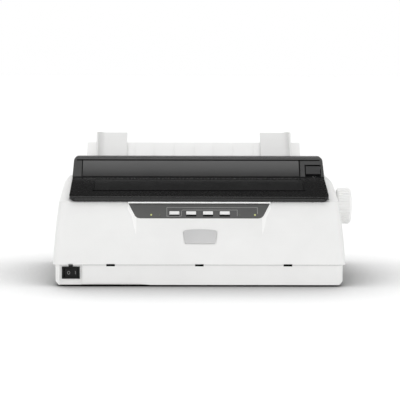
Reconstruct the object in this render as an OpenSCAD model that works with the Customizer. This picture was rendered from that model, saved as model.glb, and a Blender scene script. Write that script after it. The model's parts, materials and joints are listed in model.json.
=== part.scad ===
// Narrow-carriage dot matrix printer: a two-part moulded case with two hinged dark covers,
// a folding sheet support with two sliding guides, and the printing mechanism inside it.
// Millimetres. X runs left to right seen from the front, Y runs to the back, Z runs up.

/* [Case] */
// Width of the case at the seam between its two halves
body_w = 357; // [345:1:370]
// Depth of the case at the seam
body_d = 275; // [270:1:285]
// Height of the seam above the table
seam_z = 27; // [25:0.5:29]
// Height where the front face turns over under the access cover
brow_z = 101.5; // [101:0.5:102]
// How far the front face leans back between the seam and the brow
brow_back = 28.5; // [27:0.5:30]
// Height of the flat deck that carries the covers
deck_z = 124; // [123:0.5:126]
// Thickness of the moulded walls
wall = 2.5; // [2:0.1:3]
// Corner radius of the case in plan
corner_r = 8; // [6:0.5:10]
// Height of the case bottom above the table
foot_gap = 2; // [1.5:0.1:3]
// Step from the upper case in to the lower case
lower_step = 3; // [2:0.5:4]

/* [Covers] */
// Width of the case beside the two dark covers
shoulder_w = 19; // [18.5:0.5:20]
// Thickness of the cover mouldings
cover_t = 3; // [2.5:0.1:3.5]
// Width of the window in the access cover
window_w = 260; // [200:1:270]
// Depth of the window along the access cover
window_d = 45.5; // [30:0.5:46]
// Height of the rear cover's top above the table
hood_z = 150.5; // [149:0.5:153]
// Step from the ends of the covers in to the throat behind them
throat_step = 13; // [11.5:0.5:13.5]

/* [Operator panel] */
// Width of the panel along its top edge
panel_w = 173; // [160:1:176]
// Width of the panel along its bottom edge
panel_low_w = 156; // [150:1:160]
// Height of the panel along its slope
panel_h = 20; // [18:0.5:21]
// Thickness of the panel plate
panel_t = 1.5; // [1.2:0.1:2]
// Width of a button cap
button_w = 12; // [10:0.5:13]
// Height of a button cap
button_h = 3.8; // [3.4:0.1:4.2]
// Distance from one button to the next
button_pitch = 20.6; // [18:0.2:22]
// Travel of a button
button_travel = 0.8; // [0.5:0.1:1]

/* [Paper feed] */
// Radius of the rubber platen
platen_r = 15; // [14:0.1:15.4]
// Bare shaft between the platen's rubber and each side plate
platen_margin = 12.5; // [10:0.5:16]
// Distance of the platen axis from the middle of the case, to the back
platen_y = -14; // [-15:0.5:-13]
// Height of the platen axis
platen_z = 89; // [88:0.5:90]
// Radius of the platen shaft
shaft_r = 4; // [3:0.1:4.5]
// Radius of the platen knob
knob_r = 23; // [20:0.5:24]
// Length of the platen knob
knob_len = 18; // [16:0.5:22]
// Ribs round the platen knob
knob_ribs = 36; // [24:1:40]
// Size of the feed gear teeth
gear_m = 1; // [0.9:0.05:1]
// Width of the feed gears
gear_w = 5; // [4:0.5:6]
// Radius of the pin circle of the tractor sprockets
sprocket_r = 12.1; // [11.5:0.1:12.5]

/* [Printing] */
// Radius of the carriage guide shaft
guide_r = 5; // [4:0.1:5.5]
// Width of the carriage
carriage_w = 40; // [34:1:42]
// Radius of the print head body
head_r = 17; // [14:0.5:18]
// Height of the inked ribbon
ribbon_h = 13; // [10:0.5:14]
// Radius of the belt pulleys
pulley_r = 6; // [5:0.5:7]

/* [Sheet support] */
// How much narrower the sheet support is than the throat
support_room = 12; // [11:1:16]
// Offset of the sheet support from the middle of the case
support_mid = -5; // [-5:0.5:0]
// Length of the sheet support from its pivot
support_len = 71; // [60:1:76]
// Lean of the sheet support above the horizontal
support_lean = 45.6; // [40:0.5:50]
// Width of a paper guide
guide_w = 40; // [30:1:42]
// How far a paper guide slides inwards
guide_travel = 44; // [20:1:45]

/* [Hidden] */
$fn = 48;

e = 0.01;  // overlap that keeps cuts clean
running = 0.1;  // radial clearance of a shaft or pin in its hole
gap = 0.5;  // clearance between parts that pass each other
half_d = body_d / 2;
half_w = body_w / 2;
knob_x = half_w - 2;  // inner face of the platen knob
cover_x = half_w - shoulder_w;  // half width of the covers
well_x = cover_x + gap;  // half width of the well under the covers
throat_x = cover_x - throat_step;
plate_t = 1.5;  // steel side plates
plate_x = throat_x - 2;  // inner face of a side plate

// The object stands on z = 0 with the middle of its bounding box over the origin.
x_left = -half_w;
x_right = knob_x + knob_len;
module placed() {
  translate([-(x_left + x_right) / 2, 0, 0])
    children();
}

// ---- outline of the upper case, as functions of the height --------------------------------
seam_front = -half_d;
slope_end_z = deck_z - 2;  // the shoulders stop rising here
cover_rear = -36;  // where the front cover ends
slope_end_y = cover_rear;
deck_front_y = -22;
rear_top_z = 84;  // the rear wall is upright up to here
rear_lean = 3.5;
deck_rear_y = 32;
side_draft = 0.06;
side_curve = 4.5;
shoulder_r = 5;

function front_y(z) = z <= brow_z
  ? seam_front + brow_back * pow((z - seam_z) / (brow_z - seam_z), 1.5)
  : lookup(z, [[brow_z, seam_front + brow_back], [slope_end_z, slope_end_y], [deck_z, deck_front_y]]);
function rear_y(z) = z <= rear_top_z
  ? half_d - rear_lean * (z - seam_z) / (rear_top_z - seam_z)
  : deck_rear_y + (half_d - rear_lean - deck_rear_y)
    * sqrt(max(0, 1 - pow((z - rear_top_z) / (deck_z - rear_top_z), 2)));
function roll(z) = z < deck_z - shoulder_r ? 0
  : shoulder_r - sqrt(max(0, pow(shoulder_r, 2) - pow(z - deck_z + shoulder_r, 2)));
function side_x(z) = half_w - side_draft * (z - seam_z)
  - side_curve * pow((z - seam_z) / (deck_z - seam_z), 3) - roll(z);

// One ring of a lofted box: a rounded rectangle at height z, counter-clockwise from above
function ring(hw, y0, y1, r, z, k = 6) = [
  for (c = [0:3]) for (i = [0:k])
    let (a = 180 + 90 * c + 90 * i / k)
    [(c == 1 || c == 2 ? hw - r : r - hw) + r * cos(a), (c < 2 ? y0 + r : y1 - r) + r * sin(a), z]
];
module loft(rings) {
  n = len(rings[0]);
  m = len(rings);
  polyhedron(
    points = [for (r = rings) each r],
    faces = concat(
      [[for (i = [0:n - 1]) i]],
      [for (j = [0:m - 2]) for (i = [0:n - 1])
        let (i1 = (i + 1) % n)
        each [[j * n + i, (j + 1) * n + i, (j + 1) * n + i1], [j * n + i, (j + 1) * n + i1, j * n + i1]]],
      [[for (i = [n - 1:-1:0]) (m - 1) * n + i]]
    )
  );
}

front_steps = 8;
front_levels = [for (i = [0:front_steps]) seam_z + (brow_z - seam_z) * i / front_steps];
slope_levels = [for (z = [brow_z + 5:6:deck_z - shoulder_r]) z];
roll_levels = [for (a = [0:30:90]) deck_z - shoulder_r + shoulder_r * sin(a)];
case_levels = concat(front_levels, slope_levels, roll_levels);
inner_levels = [for (z = case_levels) if (z < deck_z - wall - 1 || z == deck_z) z == deck_z ? z - wall : z];

// ---- small shared shapes ------------------------------------------------------------------
module rounded(size, r) {
  w = size[0];
  h = size[1];
  square([w - 2 * r, h], center = true);
  square([w, h - 2 * r], center = true);
  for (x = [-1, 1], y = [-1, 1])
    translate([x * (w / 2 - r), y * (h / 2 - r)])
      circle(r);
}
// A plate or bar with a side profile drawn as [y, z] points, between two x positions
module slab(x0, x1, points) {
  translate([x0, 0, 0])
    rotate([90, 0, 90])
      linear_extrude(x1 - x0)
        polygon(points);
}
// The same for any child drawn in the y-z plane
module side_draw(x0, x1) {
  translate([x0, 0, 0])
    rotate([90, 0, 90])
      linear_extrude(x1 - x0)
        children();
}
// A round bar along x
module bar_x(r, x0, x1, y, z) {
  translate([x0, y, z])
    rotate([0, 90, 0])
      cylinder(r = r, h = x1 - x0);
}
module block(x0, x1, y0, y1, z0, z1) {
  translate([x0, y0, z0])
    cube([x1 - x0, y1 - y0, z1 - z0]);
}
module both_sides() {
  children();
  mirror([1, 0, 0])
    children();
}

// ---- operator panel plane -----------------------------------------------------------------
scoop_top = [seam_front + brow_back + 3.2, brow_z];
scoop_low_z = 63;
scoop_low = [front_y(scoop_low_z), scoop_low_z];
panel_tilt = atan2(scoop_top[0] - scoop_low[0], scoop_top[1] - scoop_low[1]);
scoop_len = norm(scoop_top - scoop_low);
panel_rim = 2.4;  // white rim of the case above the panel
panel_low = scoop_len - panel_h - panel_rim;  // where the panel starts, measured up the slope
// Drawing on the slope: x across, y up the slope, z outwards
module on_panel(up = 0, out = 0) {
  translate([0, scoop_low[0], scoop_low[1]])
    rotate([90 - panel_tilt, 0, 0])
      translate([0, up, out])
        children();
}
panel_corner = 8;
module panel_outline(inset = 0) {
  low = panel_low_w / 2 - inset;
  top = panel_w / 2 - inset;
  hull() {
    for (s = [-1, 1])
      translate([s * (low - panel_corner + 2), panel_corner + inset])
        circle(panel_corner, $fn = 32);
    translate([-top, panel_h - 1 - inset])
      square([2 * top, 1]);
  }
}
stem_w = 8;  // the stems slide in slots of the backing
stem_h = 2.4;
stem_back = 2.8;
button_up = 6.2;  // centre of the buttons above the panel's bottom edge
button_x = [for (i = [0:3]) (i - 1.48) * button_pitch];
lens_x = [-58.8, -48.3, 49.5, 68.4];
lens_up = 4.4;
lens_r = 1.1;

// ---- cases --------------------------------------------------------------------------------
well_front = scoop_top[0] + 4.2;  // the well starts behind the panel's backing
lower_w = body_w - 2 * lower_step;
lower_front = seam_front + lower_step;
lower_rear = half_d - lower_step;
lower_d = lower_rear - lower_front;
lower_mid = (lower_front + lower_rear) / 2;
boss_x = half_w - 18.5;
boss_y = [seam_front + 37.5, half_d - 22.5];
foot_x = half_w - 38.5;
foot_y = [seam_front + 25.5, half_d - 25.5];
foot_r = 8;
switch_x = 22 - half_w;  // middle of the power switch
switch_z = 16.8;
switch_w = 21.7;
switch_h = 14.9;
switch_recess = 3;
latch_x = [-1, 0, 1] * (half_w - 70.5);
latch_w = 10.5;
latch_h = 1.8;

module latch_slots() {
  for (x = latch_x)
    block(x - latch_w / 2, x + latch_w / 2, seam_front - 1, seam_front + 8,
      seam_z - latch_h / 2, seam_z + latch_h / 2);
}

module lower_case() {
  color("whitesmoke")
  difference() {
    union() {
      translate([0, lower_mid, foot_gap])
        linear_extrude(seam_z - foot_gap)
          rounded([lower_w, lower_d], corner_r);
      for (x = latch_x)
        block(x - latch_w / 2 - 2, x + latch_w / 2 + 2, lower_front + 3, lower_front + 7, 20, seam_z);
    }
    difference() {
      translate([0, lower_mid, foot_gap + wall])
        linear_extrude(seam_z)
          rounded([lower_w - 2 * wall, lower_d - 2 * wall], corner_r - wall);
      for (x = [-boss_x, boss_x], y = boss_y)
        translate([x, y, 0])
          cylinder(r = 5, h = seam_z);
      for (x = board_bosses_x, y = board_bosses_y)
        translate([x, y, 0])
          cylinder(r = 3.5, h = board_z);
      for (x = supply_bosses_x, y = board_bosses_y)
        translate([x, y, 0])
          cylinder(r = 3.5, h = board_z);
      for (x = frame_bosses_x, y = frame_bosses_y)
        translate([x, y, 0])
          cylinder(r = 5, h = frame_z);
      block(switch_x - switch_w / 2 - 4, switch_x + switch_w / 2 + 4, lower_front, lower_front + 8,
        foot_gap, seam_z);
    }
    for (x = [-boss_x, boss_x], y = boss_y)
      translate([x, y, foot_gap - 1])
        cylinder(r = screw_r + running, h = seam_z);
    for (x = [-boss_x, boss_x], y = boss_y)
      translate([x, y, foot_gap - 1])
        cylinder(r = screw_head_r + 0.4, h = screw_sink + 1);
    for (x = [-foot_x, foot_x], y = foot_y)
      translate([x, y, foot_gap - 1])
        cylinder(r = foot_r + 0.1, h = 2);
    // the power switch sits in a recess that reaches down to the bottom edge
    block(switch_x - 13.5, switch_x + 14, lower_front - 1, lower_front + switch_recess, foot_gap - 1, seam_z + 1);
    block(switch_x - switch_w / 2 + 1, switch_x + switch_w / 2 - 1, lower_front, lower_front + 12,
      switch_z - switch_h / 2 + 1, switch_z + switch_h / 2 - 1);
    latch_slots();
    // the front bottom edge is relieved at its left end
    translate([0, lower_front - 1, 0])
      rotate([90, 0, 0])
        mirror([0, 0, 1])
          linear_extrude(5)
            polygon([[switch_x + 13, 0], [-60, 0], [-60, foot_gap], [-76, foot_gap + 1.4],
              [switch_x + 13, foot_gap + 1.4]]);
    for (x = frame_bosses_x, y = frame_bosses_y)
      translate([x, y, foot_gap + wall + 1])
        cylinder(r = screw_r - 0.4, h = seam_z);
    for (x = concat(board_bosses_x, supply_bosses_x), y = board_bosses_y)
      translate([x, y, foot_gap + wall - 1])
        cylinder(r = screw_r - 0.4, h = seam_z);
    // cooling slots in the floor
    for (x = [-110:10:-20])
      block(x, x + 3, 30, 80, 0, 8);
    for (x = [20:10:110])
      block(x, x + 3, 30, 80, 0, 8);
  }
}

module rubber_feet() {
  color("dimgray")
  for (x = [-foot_x, foot_x], y = foot_y)
    translate([x, y, 0])
      cylinder(r = foot_r, h = foot_gap + 1);
}

cover_front = seam_front + brow_back - 3.5;
cover_line = [[cover_front + 2.5, 108], [cover_rear, deck_z + 2]];  // the front cover's top
function cover_z(y) = lookup(y, cover_line);
rim_drop = 6.5;  // the rim under the cover lies this far below its top
rim_front = cover_front + 8.5;
rim_foot = deck_z - 18;
pivot_r = 2;
throat_y = 20;  // front of the throat
hood_back = throat_y + 6;
hood_low = hood_z - 23.5;  // foot of the rear cover's slanting face
access_pivot = [cover_rear - 5, cover_line[1][1] - 8.5];
hood_pivot = [hood_back + 1, hood_low + 2];
support_pivot = [throat_y + 22, deck_z - 12];

module upper_case() {
  color("whitesmoke")
  difference() {
    union() {
      difference() {
        loft([for (z = case_levels) ring(side_x(z), front_y(z), rear_y(z), corner_r, z)]);
        loft([for (z = concat([seam_z - 1], [for (v = inner_levels) if (v > seam_z) v]))
          let (u = max(seam_z, z) + wall)
          ring(side_x(min(u, deck_z)) - wall, front_y(min(u, deck_z)) + wall,
            rear_y(min(u, deck_z)) - wall, corner_r - wall, z)]);
      }
      // ledge that rests on the rim of the lower case
      translate([0, lower_mid, seam_z])
        linear_extrude(2)
          difference() {
            rounded([lower_w + 2, lower_d + 2], corner_r);
            rounded([lower_w - 2 * wall, lower_d - 2 * wall], corner_r - wall);
          }
      // backing behind the operator panel
      intersection() {
        on_panel()
          translate([-96, -4, -3.2])
            cube([192, scoop_len + 3, 8]);
        block(-100, 100, -140, seam_front + brow_back + 8, seam_z, brow_z + 1);
        loft([for (z = case_levels) ring(side_x(z), front_y(z), rear_y(z), corner_r, z)]);
      }
      // rims along the sides of the well and of the throat
      both_sides()
        slab(well_x, well_x + wall, [[rim_front, cover_z(rim_front) - rim_drop - 6],
          [rim_front, cover_z(rim_front) - rim_drop], [slope_end_y, slope_end_z - 1], [deck_front_y, deck_z - 1],
          [throat_y + 10, deck_z - 1], [throat_y + 10, deck_z - 15], [cover_rear - 14, deck_z - 19]]);
      both_sides()
        slab(throat_x, throat_x + wall, concat([[throat_y, rim_foot], [throat_y, deck_z - 1],
          [throat_y + 16, deck_z - 1]],
          [for (z = [deck_z - 3.5, deck_z - 8.5, deck_z - 13.5]) [rear_y(z) - 6, z]],
          [[rear_y(deck_z - 13.5) - 6, rim_foot]]));
      // screw bosses
      for (x = [-boss_x, boss_x], y = boss_y)
        translate([x, y, seam_z])
          cylinder(r = 5, h = 22);
      for (y = boss_y)
        both_sides()
          block(boss_x, half_w - 3.5, y - 1.5, y + 1.5, seam_z, seam_z + 22);
      // posts for the rear cover's pivots
      both_sides()
        difference() {
          slab(throat_x + wall + 0.5, throat_x + wall + 4, [[hood_pivot[0] - 6, deck_z - 2],
            hood_pivot - [6, 0], hood_pivot + [-3, 4], hood_pivot + [3, 4], hood_pivot + [6, 0],
            [hood_pivot[0] + 9, deck_z - 2]]);
          bar_x(pivot_r + running, throat_x, throat_x + 10, hood_pivot[0], hood_pivot[1]);
        }
    }
    // the well under the two covers, and the throat behind them
    block(-well_x, well_x, well_front, throat_y + 4, brow_z - 3.5, deck_z + 6);
    block(-throat_x, throat_x, throat_y, half_d + 5, rear_top_z, deck_z + 6);
    // slanting scoop for the operator panel
    scoop_half(panel_low_w / 2 - 1, 0, panel_low_w / 2 - 1, panel_low + 1, 1, 12);
    scoop_half(panel_low_w / 2 - 1, panel_low + 0.5, panel_w / 2 + 0.3, scoop_len + 3, 12, 5);
    on_panel(panel_low, -panel_t + 0.3)
      linear_extrude(5)
        panel_outline(-0.2);
    for (x = button_x)
      on_panel(panel_low + button_up, -10)
        translate([x - stem_w / 2 - running, -stem_h / 2 - running, 0])
          cube([stem_w + 2 * running, stem_h + 2 * running, 12]);
    for (x = lens_x)
      on_panel(panel_low + lens_up, -10)
        translate([x, 0, 0])
          cylinder(r = lens_r + 0.4, h = 12);
    on_badge(-badge_sink)
      linear_extrude(5)
        badge_outline(0.15);
    latch_slots();
    // notch over the power switch
    block(switch_x - 3, switch_x + 2.5, seam_front - 1, seam_front + 5, seam_z - 1, seam_z + 1.5);
    for (x = [-boss_x, boss_x], y = boss_y)
      translate([x, y, seam_z - 1])
        cylinder(r = screw_r - 0.4, h = 16);
    // the platen shaft leaves through the right side
    bar_x(shaft_r + 2, plate_x, body_w, platen_y, platen_z);
    both_sides()
      bar_x(pivot_r + running, well_x - 1, well_x + wall + 1, access_pivot[0], access_pivot[1]);
    both_sides()
      bar_x(pivot_r + running, throat_x - 1, throat_x + wall + 1, support_pivot[0], support_pivot[1]);
    // cooling slots on the left side
    for (i = [0:11])
      block(-body_w, 7 - half_w, 20 + 7 * i, 23 + 7 * i, 44, 66);
    // openings for the sockets at the back
    block(inlet_x - inlet_w / 2 - 0.5, inlet_x + inlet_w / 2 + 0.5, socket_front, half_d + 5, seam_z - 1, inlet_z1 + 0.5);
    block(port_x - port_w / 2 - 0.5, port_x + port_w / 2 + 0.5, socket_front, half_d + 5, seam_z - 1, port_z1 + 0.5);
    block(usb_x - 6.5, usb_x + 6.5, socket_front, half_d + 5, seam_z - 1, 39.5);
  }
}
// One convex length of the scoop: its floor narrows from the top, its sides splay outwards
module scoop_half(low_x, low_up, top_x, top_up, low_splay, top_splay) {
  on_panel()
    hull() {
      translate([-low_x, low_up, 0])
        cube([2 * low_x, e, e]);
      translate([-top_x, top_up, 0])
        cube([2 * top_x, e, e]);
      translate([-low_x - low_splay, low_up, 5])
        cube([2 * (low_x + low_splay), e, e]);
      translate([-top_x - top_splay, top_up, 5])
        cube([2 * (top_x + top_splay), e, e]);
    }
}

module operator_panel() {
  color("dimgray")
  difference() {
    on_panel(panel_low, -panel_t + 0.3)
      linear_extrude(panel_t)
        panel_outline();
    for (x = button_x)
      on_panel(panel_low + button_up, -5)
        translate([x - button_w / 2 - 0.3, -button_h / 2 - 2, 0])
          cube([button_w + 0.6, button_h + 2.3, 10]);
    for (x = lens_x)
      on_panel(panel_low + lens_up, -5)
        translate([x, 0, 0])
          cylinder(r = lens_r + running, h = 10);
  }
}

badge_w = 42;
badge_h = 19;
badge_t = 1.4;
badge_sink = 0.9;
badge_z = 60.6;
badge_tilt = atan2(front_y(badge_z + 8) - front_y(badge_z - 8), 16);
module on_badge(out) {
  translate([0, front_y(badge_z), badge_z])
    rotate([90 - badge_tilt, 0, 0])
      translate([1, 0, out])
        children();
}
module badge_outline(grow = 0) {
  hull()
    for (c = [[-1, -1, 1.2], [1, -1, 1.2], [-1, 1, 0], [1, 1, 0]])
      translate([c[0] * (badge_w / 2 - 3 - c[2]), c[1] * (badge_h / 2 - 3)])
        circle(3 + grow, $fn = 24);
}
module badge_plate() {
  color("silver")
  on_badge(-badge_sink + e)
    linear_extrude(badge_t)
      badge_outline();
}

module indicator_lenses() {
  color("palegreen")
  for (x = lens_x)
    on_panel(panel_low + lens_up, -board_gap)
      translate([x, 0, 0])
        cylinder(r = lens_r, h = board_gap + 0.5, $fn = 24);
}

board_gap = 5.5;  // from the panel's plane back to its board
module panel_board() {
  color("darkgreen")
  on_panel(panel_low + 1, -board_gap - 1.6)
    union() {
      translate([-72, 0, 0])
        cube([146, 15, 1.6]);
      for (x = button_x)
        translate([x - 3, button_up - 4, 1.6])
          cube([6, 6, board_gap - stem_back - button_travel - 0.3]);
      for (x = [-62, 64])
        translate([x, 12, 1.6])
          cylinder(r = 2.5, h = board_gap - 3.2, $fn = 24);
    }
}

module button(i) {
  color("white")
  on_panel(panel_low + button_up, 0)
    translate([button_x[i], 0, 0])
      union() {
        // the cap is a wedge, highest along its top edge
        rotate([90, 0, 90])
          translate([0, 0, -button_w / 2])
            linear_extrude(button_w)
              polygon([[-button_h / 2, 1.2], [button_h / 2, 1.2], [button_h / 2, 3.2], [-button_h / 2, 2]]);
        translate([-stem_w / 2, -stem_h / 2, -stem_back])
          cube([stem_w, stem_h, stem_back + 1.3]);
      }
}
module button_1() { button(0); }
module button_2() { button(1); }
module button_3() { button(2); }
module button_4() { button(3); }

module switch_body() {
  color("black")
  difference() {
    union() {
      block(switch_x - switch_w / 2, switch_x + switch_w / 2, lower_front + switch_recess - 1.6,
        lower_front + switch_recess, switch_z - switch_h / 2, switch_z + switch_h / 2);
      block(switch_x - switch_w / 2 + 1.2, switch_x + switch_w / 2 - 1.2, lower_front + switch_recess - e,
        lower_front + 20, switch_z - switch_h / 2 + 1.2, switch_z + switch_h / 2 - 1.2);
    }
    block(switch_x - switch_w / 2 + 2, switch_x + switch_w / 2 - 2, lower_front, lower_front + 11,
      switch_z - switch_h / 2 + 2, switch_z + switch_h / 2 - 2);
    translate([switch_x, rocker_y, 0])
      cylinder(r = 1.2, h = seam_z);
  }
}
rocker_y = lower_front + 6;
rocker_tilt = 7;
module power_rocker() {
  color("black")
  union() {
    translate([switch_x, rocker_y, switch_z])
      rotate([0, 0, rocker_tilt])
        translate([0, 0, -switch_h / 2 + 2.3])
          linear_extrude(switch_h - 4.6)
            polygon([[-7.6, -5], [0, -3.9], [7.6, -5], [7, 0], [3, 2.5], [-3, 2.5], [-7, 0]]);
    translate([switch_x, rocker_y, switch_z - switch_h / 2 + 1.3])
      cylinder(r = 1.1, h = switch_h - 2.6, $fn = 24);
  }
}

// ---- covers -------------------------------------------------------------------------------
lip_z = brow_z + 0.7;  // the cover's lip ends just over the brow
lip_y = cover_front + 6.5;
module cover_section(t) {
  front_z = cover_line[0][1];
  rear_z = cover_line[1][1];
  mid = [(cover_front + cover_rear) / 2, (front_z + rear_z) / 2 + 0.6];
  polygon([[cover_front, lip_z], [cover_front, front_z - 2.2], [cover_front + 0.7, front_z - 0.8],
    [cover_front + 2.1, front_z + 0.1], mid, [cover_rear - 1.5, rear_z], [cover_rear, rear_z - 0.6],
    [cover_rear, rear_z - t], mid - [0, t + 0.4], [cover_front + 4, front_z - t], [cover_front + 2.9, lip_z]]);
}
module access_cover() {
  color([0.13, 0.13, 0.14])
  difference() {
    union() {
      intersection() {
        side_draw(-cover_x, cover_x)
          cover_section(cover_t);
        // rounded front corners, slightly narrower at the back
        translate([0, 0, 90])
          linear_extrude(50)
            hull() {
              for (s = [-1, 1])
                translate([s * (cover_x - 7), cover_front + 7])
                  circle(7);
              translate([-cover_x + 1, cover_rear - 4])
                square([2 * cover_x - 2, 4]);
            }
      }
      // side lips
      both_sides()
        slab(cover_x - 3.4, cover_x - 1.2, [[lip_y, cover_z(lip_y) - 1], [-74, cover_z(-74) - 0.2],
          [cover_rear - 1, cover_line[1][1] - 1], [cover_rear - 1, cover_line[1][1] - 5.5],
          [cover_rear - 10, cover_line[1][1] - 7.5], [lip_y, cover_z(lip_y) - 5]]);
      // pivot ears and pins
      both_sides() {
        side_draw(cover_x - 5.4, cover_x - 1.2)
          union() {
            translate(access_pivot)
              circle(4);
            polygon([access_pivot - [4, 0], access_pivot + [4, 0], access_pivot + [3.8, 7.1],
              access_pivot + [-7, 4.7]]);
          }
        bar_x(pivot_r, cover_x - 1.3, well_x + wall - 0.3, access_pivot[0], access_pivot[1]);
      }
    }
    on_cover(-1.2)
      linear_extrude(6)
        rounded([window_w + 0.6, window_d + 0.6], 3);
    // the window is backed by a narrower opening
    on_cover(-6)
      linear_extrude(12)
        rounded([window_w - 8, window_d - 8], 2);
  }
}
cover_tilt = atan2(cover_line[1][1] - cover_line[0][1], cover_line[1][0] - cover_line[0][0]);
window_mid = cover_rear - 28.8;
module on_cover(out) {
  translate([0, window_mid, cover_z(window_mid)])
    rotate([cover_tilt, 0, 0])
      translate([0, 0, out])
        children();
}
module cover_window() {
  color([0.22, 0.22, 0.23])
  union() {
    on_cover(-1.2)
      linear_extrude(1.2)
        rounded([window_w, window_d], 3);
    on_cover(-2.4)
      linear_extrude(1.3)
        rounded([window_w - 8.6, window_d - 8.6], 2);
  }
}

hood_front = cover_rear + 5.5;
hood_knee = [hood_front + 20.5, hood_low + 19];  // where the slanting face turns into the top
module hood_section(inset) {
  polygon([[hood_front + inset * 1.4, hood_low], hood_knee + [inset * 0.7, -inset * 0.7],
    hood_knee + [3 + inset * 0.6, 2.5 - inset], hood_knee + [7, 3.7 - inset], hood_knee + [12, 4.5 - inset],
    [hood_back - 8 - inset * 0.5, hood_z - inset], [hood_back - 3.5 - inset, hood_z - 2 - inset],
    [hood_back - 1.5 - inset, hood_z - 6.5 - inset], [hood_back - inset, hood_low]]);
}
hood_lip = hood_low - 2;
module rear_cover() {
  color([0.2, 0.2, 0.21])
  difference() {
    union() {
      intersection() {
        difference() {
          side_draw(-cover_x, cover_x)
            union() {
              hood_section(0);
              polygon([[hood_front, hood_low], [hood_front + 1.5, hood_lip], [hood_back, hood_lip],
                [hood_back, hood_low]]);
            }
          side_draw(-cover_x + cover_t, cover_x - cover_t)
            union() {
              hood_section(cover_t);
              polygon([[hood_front + 1.4 * cover_t, hood_low + e], [hood_front + 1.4 * cover_t - 1, hood_lip - 1],
                [hood_back - cover_t, hood_lip - 1], [hood_back - cover_t, hood_low + e]]);
            }
        }
        // the ends lean in and are rounded at the top
        translate([0, 40, 0])
          rotate([90, 0, 0])
            linear_extrude(100)
              hull() {
                for (s = [-1, 1])
                  translate([s * (cover_x - 6), hood_z - 5])
                    circle(5);
                translate([-cover_x, hood_lip])
                  square([2 * cover_x, 1]);
              }
      }
    }
    // pocket for the front panel, and the slot for the release lever
    hood_face(-1.1)
      translate([hood_panel_x0 - 0.4, hood_panel_up - 0.2, 0])
        cube([hood_panel_w + 0.8, hood_panel_h + 0.4, 5]);
    hood_face(-12)
      translate([lever_x - lever_w / 2 - lever_room, -4, 0])
        cube([lever_w + 2 * lever_room, 30.5, 20]);
    // the posts need room under the back edge
    both_sides()
      block(throat_x + wall - 0.5, throat_x + wall + 4.5, hood_pivot[0] - 9, hood_back + 14, hood_lip - 5,
        hood_pivot[1] + 7);
  }
  // hinge arms with their pins
  color([0.2, 0.2, 0.21])
  both_sides() {
    side_draw(throat_x + wall + 4.5, throat_x + wall + 7) {
      translate(hood_pivot)
        circle(4);
      polygon([hood_pivot + [-3.5, -2], hood_pivot + [4, 0], hood_pivot + [0, 4], hood_pivot + [-1.8, 11],
        hood_pivot + [-3.5, 11]]);
    }
    bar_x(pivot_r, throat_x + wall + 0.8, throat_x + wall + 5, hood_pivot[0], hood_pivot[1]);
  }
}
lever_x = plate_x + 1;
lever_w = 18;
lever_room = 1.2;  // play of the lever in the cover's slot
hood_panel_x0 = 12.5 - cover_x;
hood_panel_w = lever_x - lever_w / 2 - 7.5 - hood_panel_x0;  // it ends short of the lever's slot
hood_panel_up = 3;
hood_panel_h = norm(hood_knee - [hood_front, hood_low]) - hood_panel_up - 0.6;
hood_tilt = atan2(hood_knee[1] - hood_low, hood_knee[0] - hood_front);
// Drawing on the rear cover's front face: x across, y up the slope, z outwards
module hood_face(out) {
  translate([0, hood_front, hood_low])
    rotate([hood_tilt, 0, 0])
      translate([0, 0, out])
        children();
}
module rear_cover_panel() {
  color([0.32, 0.32, 0.33])
  hood_face(-1.1 + e)
    translate([hood_panel_x0, hood_panel_up, 0])
      cube([hood_panel_w, hood_panel_h, 1.5]);
}

lever_pivot = [12, 72];
module release_lever() {
  color([0.16, 0.16, 0.17])
  union() {
    difference() {
      side_draw(plate_x + plate_t + 0.5, plate_x + plate_t + 3)
        union() {
          translate(lever_pivot)
            circle(7);
          polygon([[5, 72], [18, 76], [4, 112], [-8, 126], [-9, 137], [-17, 137], [-19, 124], [-3, 104]]);
        }
      bar_x(lever_stud_r + running, plate_x, plate_x + 10, lever_pivot[0], lever_pivot[1]);
    }
    // the finger grip lies just over the cover's slanting face
    slab(lever_x - lever_w / 2, lever_x + lever_w / 2, [for (p = [[3.5, 3.4], [13.5, 12.4], [16.5, 12.6],
      [18.5, 9.5], [6, 0.5]]) p + [hood_front, hood_low]]);
  }
}
lever_stud_r = 3;

// ---- sheet support ------------------------------------------------------------------------
support_t = 2.5;
support_w = 2 * throat_x - support_room;
// Drawing on the sheet support: x across, y up the slope from the pivot, z out of the paper side
module on_support(up = 0, out = 0) {
  translate([support_mid, support_pivot[0], support_pivot[1]])
    rotate([support_lean, 0, 0])
      translate([0, up, out])
        children();
}
slot_up = 44;
slot_h = 6;
module sheet_support() {
  color("gainsboro")
  difference() {
    union() {
      on_support(0, -support_t / 2)
        translate([-support_w / 2, 3, 0])
          cube([support_w, support_len - 3, support_t]);
      // ribs under the sheet
      for (x = [-78:26:78])
        on_support(0, support_t / 2 - e)
          translate([x - 0.75, 8, 0])
            cube([1.5, support_len - 12, 1]);
      // hubs at both ends, and a pin through each throat wall
      for (s = [-1, 1]) {
        hub_in = support_mid + s * (support_w / 2 - 5);
        bar_x(4, min(hub_in, s * (throat_x - 1)), max(hub_in, s * (throat_x - 1)), support_pivot[0],
          support_pivot[1]);
        bar_x(pivot_r, s < 0 ? -throat_x - wall + 0.4 : throat_x - 2, s < 0 ? 2 - throat_x : throat_x + wall - 0.4,
          support_pivot[0], support_pivot[1]);
      }
    }
    for (s = [-1, 1])
      on_support(slot_up, -5)
        translate([s > 0 ? slot_in : -slot_out, -slot_h / 2, 0])
          cube([slot_out - slot_in, slot_h, 10]);
  }
}
guide_out = support_w / 2 - 12.5;
slot_out = guide_out - guide_w / 2 + 7;
slot_in = guide_out - guide_w / 2 - guide_travel - 7;
guide_rise = 11;
guide_t = 2;
guide_up = 12;
guide_len = 71.5;
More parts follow.
